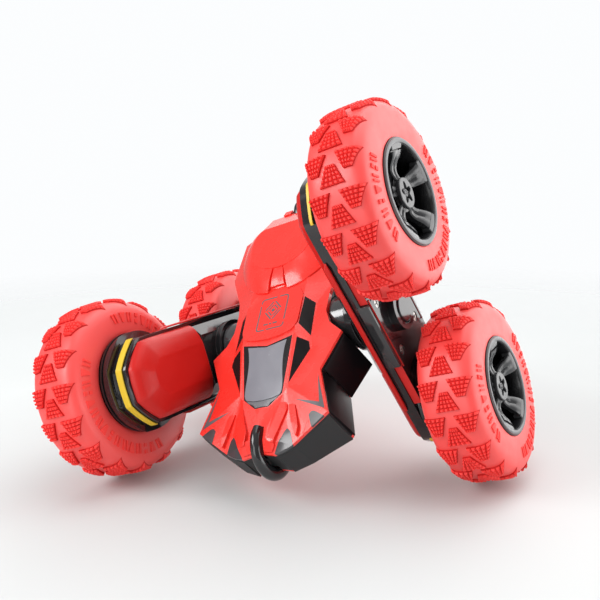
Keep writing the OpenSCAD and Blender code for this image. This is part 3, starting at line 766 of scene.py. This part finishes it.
for (end, side), (tread, spin) in PHASE.items():
    build_tyre(end, side, tread)
    v, f, fm = rim_mesh(spin)
    piece(f"{end}_{side}_rim_spokes", v, f, wheel_frame(end, side), "rim_grey", f"{end}_{side}_wheel", smooth=35,
          replaces=(f"{end}_{side}_rim",), fmats=fm, mats=["rim_grey", "rim_black", "rim_edge", "rim_ring"], merge=0)
    v, f, fm = hub_mesh(spin)
    piece(f"{end}_{side}_hub_ring", v, f, wheel_frame(end, side), "rim_grey", f"{end}_{side}_wheel", smooth=35,
          replaces=(f"{end}_{side}_hub_cap",), fmats=fm, mats=["rim_grey", "rim_black", "screw_dark"], merge=0)
    paint(f"{end}_{side}_axle", "nylon")

# ------------------------------------------------------------------ arms
COVER = [(0.0, 33.62), (7.0, 33.62), (8.2, 33.75), (11.0, 34.6), (13.6, 35.75), (15.0, 36.8), (15.85, 38.0), (16.2, 39.0), (16.3, 39.98)]
COVER_IN = [(0.0, 35.0), (7.2, 35.0), (8.3, 35.15), (9.3, 35.5), (13.5, 38.1), (14.0, 38.5), (14.4, 38.9), (14.6, 39.4), (14.7, 39.98)]


def cover_end(sgn):
    """Half of an inner arm cover: from the centre insert round the end of the arm."""
    path = []
    for t in range(13):
        path.append((20.05 + (REACH - 20.05) * t / 12, 0.0, pi / 2))
    for t in range(1, 40):
        path.append((REACH, 0.0, pi / 2 - pi * t / 40))
    for t in range(13):
        path.append((REACH - (REACH - 20.05) * t / 12, 0.0, -pi / 2))
    verts, faces = [], []
    k = len(COVER)
    for y, z, a in path:
        for prof in (COVER, COVER_IN):
            for h, x in prof:
                k_ = facet_gain(a) if y == REACH else 1.0
                verts.append((x, sgn * (y + h * k_ * cos(a)), z + h * k_ * sin(a)))
    w = 2 * k
    for i in range(len(path) - 1):
        for j in range(k - 1):
            faces.append((i * w + j, i * w + j + 1, (i + 1) * w + j + 1, (i + 1) * w + j))
            faces.append((i * w + k + j, (i + 1) * w + k + j, (i + 1) * w + k + j + 1, i * w + k + j + 1))
        faces.append((i * w + k - 1, i * w + w - 1, (i + 1) * w + w - 1, (i + 1) * w + k - 1))
    for i in (0, len(path) - 1):
        for j in range(k - 1):
            faces.append((i * w + j, i * w + j + 1, i * w + k + j + 1, i * w + k + j))
    return verts, faces


for side in ("left", "right"):
    T, arm = ARM[side], f"{side}_arm"
    g = ([], [])
    add(g, cover_end(1))
    add(g, cover_end(-1))
    piece(f"{side}_inner_cover_shell", g[0], g[1], T, "red_arm", arm, smooth=30, bevel=0.3, limit=40,
          replaces=(f"{side}_inner_cover",))
    refine(f"{side}_inner_insert", "black_gloss", 0.25)
    ends = faceted_end(T)
    refine(f"{side}_arm_frame", "black_gloss", 0.35, warp=ends)
    cover = refine(f"{side}_outer_cover", "red_arm", 0.25)
    cover.data.materials.append(M["black_gloss"])
    back = T.inverted().to_3x3()
    for face in cover.data.polygons:
        if (back @ face.normal).normalized().x > 0.8:
            face.material_index = 1
    refine(f"{side}_centre_plate", "black_gloss", 0.3)
    refine(f"{side}_pivot_cap", "black_gloss", 0.35)
    g = ([], [])
    for sgn in (1, -1):
        verts, faces = [], []
        steps = 72
        wide = {"left": 3.0, "right": 1.2}[side]
        for i in range(steps + 1):
            a = radians(70 - 140 * i / steps)
            k = facet_gain(a)
            for x, r in ((44.5 - wide, 17.9), (44.5 - wide, 18.42), (44.5, 18.42), (44.5, 17.9)):
                verts.append((x, sgn * (REACH + r * k * cos(a)), r * k * sin(a)))
        for i in range(steps):
            for c in range(4):
                d = (c + 1) % 4
                faces.append((i * 4 + c, i * 4 + d, i * 4 + 4 + d, i * 4 + 4 + c))
        faces += [(3, 2, 1, 0), (steps * 4, steps * 4 + 1, steps * 4 + 2, steps * 4 + 3)]
        add(g, (verts, faces))
    rails = ([], [])
    for z in (1, -1):
        far = {"left": 42.3, "right": 41.3}[side]
        prof = [(39.3, 17.9), (39.3, 18.45), (39.6, 18.75), (far - 0.3, 18.75), (far, 18.5), (far, 17.9)]
        line = [(-36.5, 0.0), (-34.0, 1.0), (34.0, 1.0), (36.5, 0.0)]
        vs, fs = [], []
        for y, k in line:
            for x, h in prof:
                vs.append((40.8 + (x - 40.8) * (0.35 + 0.65 * k), y, z * (17.9 + (h - 17.9) * (0.2 + 0.8 * k))))
        n = len(prof)
        for i in range(len(line) - 1):
            for c in range(n):
                d = (c + 1) % n
                fs.append((i * n + c, i * n + d, (i + 1) * n + d, (i + 1) * n + c))
        fs += [tuple(range(n)), tuple((len(line) - 1) * n + c for c in reversed(range(n)))]
        add(rails, (vs, fs))
    piece(f"{side}_arm_rails", rails[0], rails[1], T, "red_arm", arm, smooth=25, bevel=0.12)
    piece(f"{side}_stripe_bands", g[0], g[1], T, "yellow", arm, smooth=30, bevel=0.08, replaces=(f"{side}_stripes",))
    refine(f"{side}_arm_screws", "steel", 0.12)
    for n in ("drive_gear", "front_idler_1", "front_idler_2", "rear_idler_1", "rear_idler_2"):
        paint(f"{side}_{n}", "nylon")

# ------------------------------------------------------------------ body skin
def roof(s):
    return 20.8 - 0.106 * (s + 20.9)


SKIN = [(0, -60, 12.8), (9, -60, 12.8), (17, -57, 12.8), (31, -50.5, 12.4), (32.5, -29, 12.4),
        (28, -19.5, 12.4), (25, -13, 12.6), (23.5, -6, 12.8), (23.5, 3, 12.8), (26, 9, 12.5),
        (32.2, 14.5, 12), (24.7, 30, 11.4), (30.6, 49.3, 9.9), (15.4, 59.5, 7.1),
        (7.4, 62.4, 6.6), (0, 60.8, 6.6),
        (0, -55, 16.2), (20, -51, 15.6), (25.5, -42, 15.4), (25.5, -30, 15.4), (20, -20, 15.8),
        (14, -14.3, 17.2), (0, -11.6, 17.7),
        (0, -44.5, roof(-44.5)), (11, -43, roof(-43)), (15.7, -36, roof(-36)),
        (15.7, -31, roof(-31)), (12, -25, roof(-25)), (6, -21.7, roof(-21.7)), (0, -20.9, roof(-20.9)),
        (14, -5, 17.3), (13, 11, 17.2), (12.9, 14, 16.9), (0, 12.5, 17.4), (0, 16.5, 16.6),
        (19.3, -2, 14), (19.6, 16, 13.2), (9.8, 39, 11.8), (0, 42, 11.5), (20.2, 21, 12.7),
        (11.6, 36.3, 12.4), (5.6, 57, 9.6), (0, 55, 9.6), (3.3, 43.8, 11)]
FACETS = [
    (0, 1, 16), (1, 17, 16), (1, 2, 17), (2, 3, 17), (3, 18, 17), (3, 4, 18), (4, 19, 18), (4, 5, 19), (5, 20, 19),
    (5, 6, 20), (20, 6, 21), (6, 30, 21), (6, 7, 35), (6, 35, 30), (7, 8, 35), (8, 36, 35), (8, 9, 36), (9, 10, 36),
    (10, 39, 36), (10, 11, 39), (11, 40, 39), (30, 35, 36), (30, 36, 31), (31, 36, 32), (32, 36, 39), (32, 39, 40),
    (32, 40, 37), (22, 21, 30), (22, 30, 31), (22, 31, 33), (33, 31, 32), (33, 32, 34), (34, 32, 37), (34, 37, 38),
    (38, 37, 43), (38, 43, 42), (11, 12, 40), (12, 13, 40), (40, 13, 37), (13, 41, 37), (37, 41, 43), (43, 41, 42),
    (13, 14, 41), (14, 15, 41), (41, 15, 42),
    (16, 17, 24), (16, 24, 23), (17, 18, 24), (18, 25, 24), (18, 19, 25), (19, 26, 25), (19, 20, 26), (20, 27, 26),
    (20, 21, 27), (21, 28, 27), (21, 22, 28), (22, 29, 28),
    (23, 24, 25), (23, 25, 26), (23, 26, 27), (23, 27, 28), (23, 28, 29)]


def skin_z(x, s):
    """Height of the outer skin above the middle plane at a plan point."""
    x = abs(x)
    best, gap = None, 1e9
    for a, b, c in FACETS:
        (x0, y0, z0), (x1, y1, z1), (x2, y2, z2) = SKIN[a], SKIN[b], SKIN[c]
        det = (y1 - y2) * (x0 - x2) + (x2 - x1) * (y0 - y2)
        if abs(det) < 1e-9:
            continue
        u = ((y1 - y2) * (x - x2) + (x2 - x1) * (s - y2)) / det
        v = ((y2 - y0) * (x - x2) + (x0 - x2) * (s - y2)) / det
        w = 1 - u - v
        out = max(0.0, -u, -v, -w)
        if out < gap:
            gap, best = out, u * z0 + v * z1 + w * z2
            if out == 0.0:
                break
    return best


SKIN_EDGES = set()
for f in FACETS:
    for p, q in zip(f, f[1:] + f[:1]):
        SKIN_EDGES.add((min(p, q), max(p, q)))


def area2(poly):
    return sum(a[0] * b[1] - b[0] * a[1] for a, b in zip(poly, poly[1:] + poly[:1])) / 2


def drape(poly, lift, depth=0.8, zfun=skin_z, flip=1, grid=0.0):
    """A closed pad over a plan outline: its top follows the skin, raised by lift, and its foot is sunk by depth."""
    if area2(poly) < 0:
        poly = poly[::-1]
    pts = [Vector(p) for p in poly]
    edges = []
    n0 = len(pts)
    lo = (min(p[0] for p in poly) - 1, min(p[1] for p in poly) - 1)
    hi = (max(p[0] for p in poly) + 1, max(p[1] for p in poly) + 1)
    if zfun is skin_z:
        for a, b in sorted(SKIN_EDGES):
            for m in (1, -1):
                pa, pb = Vector((m * SKIN[a][0], SKIN[a][1])), Vector((m * SKIN[b][0], SKIN[b][1]))
                if max(pa.x, pb.x) < lo[0] or min(pa.x, pb.x) > hi[0] or max(pa.y, pb.y) < lo[1] or min(pa.y, pb.y) > hi[1]:
                    continue
                edges.append((len(pts), len(pts) + 1))
                pts += [pa, pb]
    if grid:
        y = lo[1]
        while y < hi[1]:
            x = lo[0]
            while x < hi[0]:
                pts.append(Vector((x + 0.013, y + 0.017)))
                x += grid
            y += grid
    out_v, _, out_f, _, _, orig_f = delaunay_2d_cdt(pts, edges, [list(range(n0))], 0, 1e-5)
    tri = [f for f, o in zip(out_f, orig_f) if o]
    used = sorted({i for f in tri for i in f})
    remap = {v: i for i, v in enumerate(used)}
    k = len(used)
    lift_at = lift if callable(lift) else (lambda x, s: lift)
    verts, low = [], []
    for i in used:
        x, s_ = out_v[i]
        z = zfun(x, s_)
        verts.append((x, -s_, flip * (z + lift_at(x, s_))))
        low.append((x, -s_, flip * (z - depth)))
    faces = []
    count = {}
    for f in tri:
        g = [remap[i] for i in f]
        faces.append(tuple(g))
        faces.append(tuple(k + i for i in reversed(g)))
        for p, q in zip(g, g[1:] + g[:1]):
            count[(p, q)] = 1
    for (p, q) in list(count):
        if (q, p) not in count:
            faces.append((p, k + p, k + q, q))
    return verts + low, faces


def mirrored(poly):
    return [(-x, s) for x, s in reversed(poly)]


def pad(name, polys, lift, mat, depth=0.8, bevel=0.15, zfun=skin_z, sides=(1,), smooth=18, seg=2, limit=35, grid=0.0):
    """One piece of pads that lie on the top skin, the bottom skin or both."""
    g = ([], [])
    for f in sides:
        for poly in polys:
            add(g, drape(list(poly), lift, depth, zfun, f, grid))
    return piece(name, g[0], g[1], BODY, mat, "body", smooth=smooth, bevel=bevel, seg=seg, limit=limit)


def rounded(poly, r, n=5):
    """Outline with rounded corners."""
    out = []
    for i, p in enumerate(poly):
        a, b, c = Vector(poly[i - 1]), Vector(p), Vector(poly[(i + 1) % len(poly)])
        d1, d2 = (a - b), (c - b)
        k = min(r, d1.length * 0.45, d2.length * 0.45)
        p0, p2 = b + d1.normalized() * k, b + d2.normalized() * k
        for t in range(n + 1):
            u = t / n
            out.append(tuple((1 - u) ** 2 * p0 + 2 * u * (1 - u) * b + u * u * p2))
    return out


# roof cover: flat and three skirt panels, parted by grooves
PLAT = smooth_curve([(-11.2, -43.6), (-14.3, -41.2), (-15.9, -37.0), (-16.0, -32.5), (-14.9, -28.2), (-12.2, -24.6), (-8.0, -22.1),
                     (-3.5, -20.9), (0.0, -20.7), (3.5, -20.9), (8.0, -22.1), (12.2, -24.6), (14.9, -28.2), (16.0, -32.5),
                     (15.9, -37.0), (14.3, -41.2), (11.2, -43.6)], 6)
FOOT = smooth_curve([(-20.5, -51.0, 15.7), (-24.3, -46.5, 15.5), (-26.0, -40.0, 15.5), (-25.6, -32.0, 15.5), (-23.2, -25.0, 15.7),
                     (-19.3, -18.6, 16.2), (-13.0, -12.9, 17.4), (-6.0, -10.4, 17.85), (0.0, -10.6, 17.85), (6.0, -10.4, 17.85),
                     (13.0, -12.9, 17.4), (19.3, -18.6, 16.2), (23.2, -25.0, 15.7), (25.6, -32.0, 15.5), (26.0, -40.0, 15.5),
                     (24.3, -46.5, 15.5), (20.5, -51.0, 15.7)], 6)


def skirt_panel(t0, t1, u0, u1, lift):
    top, low = [], []
    nu = 10
    for t in range(t0, t1 + 1):
        px, ps = PLAT[t]
        pz = roof(ps) + 0.35
        qx, qs, qz = FOOT[t]
        for k in range(nu + 1):
            u = u0 + (u1 - u0) * k / nu
            x, s_, z = px + (qx - px) * u, ps + (qs - ps) * u, pz + (qz - pz) * u
            bulge = 0.55 * sin(pi * min(1.0, u)) + lift
            n = Vector((qx - px, qs - ps)).normalized() * 0.35
            top.append((x + n.x * bulge, -(s_ + n.y * bulge), z + bulge))
            low.append((x, -s_, z - 1.6))
    n = len(top)
    rows = t1 - t0
    w = nu + 1
    faces = []
    for i in range(rows):
        for k in range(nu):
            faces.append((i * w + k, i * w + k + 1, (i + 1) * w + k + 1, (i + 1) * w + k))
            faces.append((n + i * w + k, n + (i + 1) * w + k, n + (i + 1) * w + k + 1, n + i * w + k + 1))
    ring = ([k for k in range(nu)] + [i * w + nu for i in range(rows)] + [rows * w + k for k in range(nu, 0, -1)]
            + [i * w for i in range(rows, 0, -1)])
    for p, q in zip(ring, ring[1:] + ring[:1]):
        faces.append((p, q, n + q, n + p))
    return top + low, faces


g = ([], [])
last = len(PLAT) - 1
mid = last // 2
add(g, skirt_panel(0, mid - 5, -0.04, 1.0, 0.25))
add(g, skirt_panel(mid - 4, mid + 4, -0.04, 0.80, 0.0))
add(g, skirt_panel(mid + 5, last, -0.04, 1.0, 0.25))
piece("roof_skirt", g[0], g[1], BODY, "red_gloss", "body", smooth=25, bevel=0.22, seg=3, limit=40)
pad("roof_flat", [PLAT], 0.85, "red_gloss", depth=0.7, bevel=0.35, seg=4, zfun=lambda x, s: roof(s), smooth=20)

# hood plate with a rolled front lip
HOOD = rounded([(14.2, -4.6), (13.9, 9.2), (11.6, 12.9), (6.0, 14.3), (0.0, 14.8), (-6.0, 14.3), (-11.6, 12.9), (-13.9, 9.2),
                (-14.2, -4.6), (-11.0, -9.6), (-4.6, -8.9), (4.6, -8.9), (11.0, -9.6)], 1.6)


def hood_z(x, s):
    return 17.72 - 0.022 * (s + 10)


def hood_lift(x, s):
    return 0.28 + 0.30 * max(0.0, min(1.0, (s - 7.0) / 6.0)) ** 2


pad("hood_plate", [HOOD], hood_lift, "red_gloss", depth=1.3, bevel=0.38, seg=4, zfun=hood_z, sides=(1, -1), smooth=20, grid=3.0)


# generic badge on the hood: broken rounded frame, nested diamonds and a bar
def strip(path, w):
    """Plan outline of a flat line of width w along a path."""
    left, right = [], []
    for i, p in enumerate(path):
        a, b = Vector(path[max(0, i - 1)]), Vector(path[min(len(path) - 1, i + 1)])
        d = (b - a).normalized()
        n = Vector((-d.y, d.x)) * w / 2
        left.append(tuple(Vector(p) + n))
        right.append(tuple(Vector(p) - n))
    return left + right[::-1]


def corner(cx, cy, r, a0, a1, n=6):
    return [(cx + r * cos(radians(a0 + (a1 - a0) * i / n)), cy + r * sin(radians(a0 + (a1 - a0) * i / n))) for i in range(n + 1)]


W_, S0, S1 = 6.7, -6.6, 9.6
frames = [strip([(2.2, S0)] + corner(W_ - 1.4, S0 + 1.4, 1.4, -90, 0) + [(W_, 6.2)], 0.62),
          strip([(W_, 7.6)] + corner(W_ - 1.4, S1 - 1.4, 1.4, 0, 90) + [(-1.5, S1)], 0.62),
          strip([(-2.6, S1)] + corner(-W_ + 1.4, S1 - 1.4, 1.4, 90, 180) + [(-W_, -3.4)], 0.62),
          strip([(-W_, -4.6)] + corner(-W_ + 1.4, S0 + 1.4, 1.4, 180, 270) + [(0.8, S0)], 0.62)]


def diamond(r, w, cy=0.0):
    out = []
    k = [(0, cy - r * 1.15), (r, cy), (0, cy + r * 1.15), (-r, cy)]
    for a, b in zip(k, k[1:] + k[:1]):
        d = (Vector(b) - Vector(a)) * 0.10
        out.append(strip([tuple(Vector(a) + d), tuple(Vector(b) - d)], w))
    return out


marks = diamond(4.3, 0.6, 0.0) + diamond(2.6, 0.55, 0.0) + [[(0.85 * cos(radians(a)), 0.85 * sin(radians(a))) for a in range(0, 360, 30)]]
marks += [strip([(-3.4, 6.9), (-1.2, 6.9)], 0.7), strip([(-0.5, 6.9), (0.5, 6.9)], 0.7), strip([(1.2, 6.9), (3.4, 6.9)], 0.7)]
for top_side, nm in ((1, "top"), (-1, "bottom")):
    g = ([], [])
    for poly in frames + marks:
        add(g, drape(poly, lambda x, s: hood_lift(x, s) + 0.05, 0.1, hood_z, top_side))
    piece(f"{nm}_badge", g[0], g[1], BODY, "decal_grey", "body", smooth=20)

# windscreen: silver panel with wavy sides on the black pane, and its darker foot
LIGHT = smooth_curve([(9.7, 16.3), (8.9, 19.5), (8.45, 24.0), (8.6, 29.0), (9.0, 33.5), (9.0, 37.3), (8.1, 39.0)], 4)
LIGHT = [(0, 17.9)] + LIGHT + [(4.5, 39.9), (0, 40.3)]
LIGHT = LIGHT + [(-x, s) for x, s in reversed(LIGHT[1:-1])]
pad("windscreen_panels", [LIGHT], 0.10, "screen_light", depth=0.5, bevel=0.08, sides=(1, -1))
LOW = [(0, 40.5), (4.6, 40.1), (8.0, 39.25), (6.6, 40.6), (4.2, 41.6), (3.2, 42.9), (0, 42.9)]
LOW = LOW + [(-x, s) for x, s in reversed(LOW[1:-1])]
pad("windscreen_feet", [LOW], 0.10, "screen_dark", depth=0.5, bevel=0.08, sides=(1, -1))

# forked ridges and stubs on the nose
IN_ = rounded([(9.0, 42.2), (11.9, 42.6), (12.4, 45.6), (8.1, 58.9), (5.2, 58.5), (4.8, 53.6), (7.0, 48.0)], 0.9)
OUT_ = rounded([(12.7, 43.8), (15.9, 44.2), (18.3, 53.6), (17.4, 57.2), (15.3, 52.0)], 0.8)


def ridge_lift(x, s):
    t = max(0.0, min(1.0, (s - 42.5) / 9.0))
    return 0.15 + 1.25 * t ** 0.8


pad("nose_ridges", [IN_, mirrored(IN_), OUT_, mirrored(OUT_)], ridge_lift, "red_gloss", depth=1.0, bevel=0.62, seg=4,
    sides=(1, -1), smooth=40, limit=30)
TOOTH1 = rounded([(7.5, 62.3), (11.6, 54.6), (12.8, 52.9), (14.2, 54.2), (15.7, 59.5), (11.6, 61.3)], 0.5)
TOOTH2 = rounded([(23.7, 54.1), (22.3, 49.3), (23.4, 48.1), (24.8, 48.2), (29.1, 50.6)], 0.45)
pad("nose_teeth", [TOOTH1, mirrored(TOOTH1), TOOTH2, mirrored(TOOTH2)], 0.12, "tooth_grey", depth=0.9, bevel=0.1, sides=(1, -1))
EAR = rounded([(2.95, 56.6), (7.6, 57.2), (8.2, 59.6), (6.8, 61.7), (2.95, 60.9)], 0.6)
pad("nose_stubs", [EAR, mirrored(EAR)], 0.9, "red_gloss", depth=1.0, bevel=0.4, seg=3, sides=(1, -1), smooth=30)
TAIL = rounded([(2.95, -56.4), (6.8, -56.4), (6.8, -59.4), (2.95, -59.4)], 0.6)
pad("lower_tail_stubs", [TAIL, mirrored(TAIL)], 1.0, "red_gloss", depth=1.0, bevel=0.4, seg=3, sides=(-1,), smooth=30)
# sloping deck behind the roof, with the two stubs beside the tow loop
deck = [(-12.6, -43.4, roof(-43.4) + 0.45), (12.6, -43.4, roof(-43.4) + 0.45), (13.2, -56.0, 17.7), (-13.2, -56.0, 17.7),
        (-18.5, -44.5, 15.0), (18.5, -44.5, 15.0), (17.5, -57.0, 12.2), (-17.5, -57.0, 12.2)]
g = ([], [])
add(g, ([(x, -s_, z) for x, s_, z in deck],
        [(0, 1, 2, 3), (0, 4, 5, 1), (1, 5, 6, 2), (2, 6, 7, 3), (3, 7, 4, 0), (7, 6, 5, 4)]))
for m in (1, -1):
    xs = (2.9, 6.9)
    vs = [(m * x, -s_, z) for s_, zt in ((-55.6, 18.6), (-58.9, 17.6)) for x in xs for z in (12.4, zt)]
    add(g, (vs, [(0, 1, 3, 2), (4, 6, 7, 5), (0, 4, 5, 1), (2, 3, 7, 6), (1, 5, 7, 3), (0, 2, 6, 4)]))
piece("tail_deck", g[0], g[1], BODY, "red_gloss", "body", smooth=25, bevel=0.35, seg=3, limit=20)
CHEV = [(24.15, 32.0), (29.3, 47.9), (15.6, 42.1), (26.6, 44.9)]
pad("nose_corner_prints", [CHEV, mirrored(CHEV)], 0.06, "decal_grey", depth=0.2, bevel=0.0, sides=(1, -1))

# creased panels on the black side walls; their foot laps over the edge of the lower shell
def wall_panel(line, crease, m):
    """line: plan points with the skin height there; crease: how far the middle of the wall stands out."""
    vs, fs = [], []
    n = len(line)
    for i, (x, s_, z) in enumerate(line):
        a, b = Vector(line[max(0, i - 1)][:2]), Vector(line[min(n - 1, i + 1)][:2])
        nrm = Vector(((b - a).y, -(b - a).x)).normalized()
        if nrm.dot(Vector((x, s_ - 0.3 * s_))) < 0:
            nrm = -nrm
        c = crease[i]
        for zz, w in ((z - 2.0, 0.1), (z - 2.6, 0.35), (z * 0.22, c), (-z + 2.6, 0.75), (-z - 0.12, 0.55), (-z - 0.12, -0.25), (-z + 1.5, -0.8), (z - 2.4, -0.8)):
            vs.append((m * (x + nrm.x * w), -(s_ + nrm.y * w), zz))
    k = 8
    for i in range(n - 1):
        for c in range(k):
            d = (c + 1) % k
            fs.append((i * k + c, i * k + d, (i + 1) * k + d, (i + 1) * k + c))
    fs += [tuple(range(k)), tuple((n - 1) * k + c for c in reversed(range(k)))]
    return vs, fs


g = ([], [])
for m in (1, -1):
    add(g, wall_panel([(32.1, 14.8, 12.0), (25.0, 29.6, 11.4)], [0.7, 1.7], m))
    add(g, wall_panel([(24.8, 30.4, 11.4), (30.3, 48.6, 9.95)], [1.7, 0.6], m))
    add(g, wall_panel([(30.1, 49.7, 9.8), (15.6, 59.3, 7.15), (8.0, 62.2, 6.65)], [0.6, 0.5, 0.5], m))
    add(g, wall_panel([(28.2, -20.2, 12.4), (32.2, -29.1, 12.4)], [0.9, 0.6], m))
    add(g, wall_panel([(32.4, -30.0, 12.4), (31.0, -50.0, 12.4)], [0.6, 0.5], m))
    add(g, wall_panel([(30.4, -51.0, 12.4), (17.6, -56.8, 12.8)], [0.5, 0.5], m))
piece("side_wall_panels", g[0], g[1], BODY, "wall_black", "body", smooth=12, bevel=0.18, seg=2, limit=16)

# ------------------------------------------------------------------ body
refine("side_frame", "side_frame", 0.35, limit=25)
refine("top_shell", "red_gloss", 0.35, limit=14, smooth=12, dissolve=0.3)
refine("bottom_shell", "red_gloss", 0.35, limit=14, smooth=12, dissolve=0.3)
refine("top_windscreen", "window_black", 0.2, limit=20)
refine("bottom_windscreen", "window_black", 0.2, limit=20)
refine("side_windows", "window_black", 0.15, limit=20)
refine("bumper_teeth", "red_gloss", 0.1, limit=20)
refine("battery_door", "red_gloss", 0.3, limit=20)


def tow_loop(end, points, rx, rn):
    """A bar of oval section swept along a curve in the middle plane."""
    line = smooth_curve(points, 6)
    n, k = len(line), 20
    vs, fs = [], []
    for i, (s_, z) in enumerate(line):
        a, b = line[max(0, i - 1)], line[min(n - 1, i + 1)]
        t = Vector((b[0] - a[0], b[1] - a[1])).normalized()
        for c in range(k):
            w = 2 * pi * c / k
            u = rn * cos(w)
            vs.append((rx * sin(w), -(s_ - t.y * u), z + t.x * u))
    for i in range(n - 1):
        for c in range(k):
            d = (c + 1) % k
            fs.append((i * k + c, i * k + d, (i + 1) * k + d, (i + 1) * k + c))
    fs += [tuple(range(k)), tuple((n - 1) * k + c for c in reversed(range(k)))]
    return piece(f"{end}_tow_ring", vs, fs, BODY, "black_gloss", "body", smooth=50, replaces=(f"{end}_tow_loop",))


ARC = [(54.5 + 10 * cos(radians(a)), 10 * sin(radians(a))) for a in range(90, -91, -15)]
tow_loop("front", [(52.0, 9.6)] + ARC + [(52.0, -9.6)], 2.35, 2.85)
TALL = [(-52.0, 11.0), (-54.2, 14.4), (-57.4, 16.6), (-60.8, 16.8), (-63.6, 14.6), (-65.4, 11.0), (-66.0, 5.5)]
tow_loop("rear", TALL + [(-66.2, 0.0)] + [(a, -z) for a, z in reversed(TALL)], 2.15, 2.3)
refine("pivot_hubs", "barrel", 0.4)
refine("power_switch", "black_matt", 0.25)
for n, m in (("retaining_rings", "steel"), ("gearbox", "gearbox"), ("drive_motors", "motor_can"), ("battery_pack", "cell"),
             ("circuit_board", "board"), ("body_screws", "steel")):
    paint(n, m)
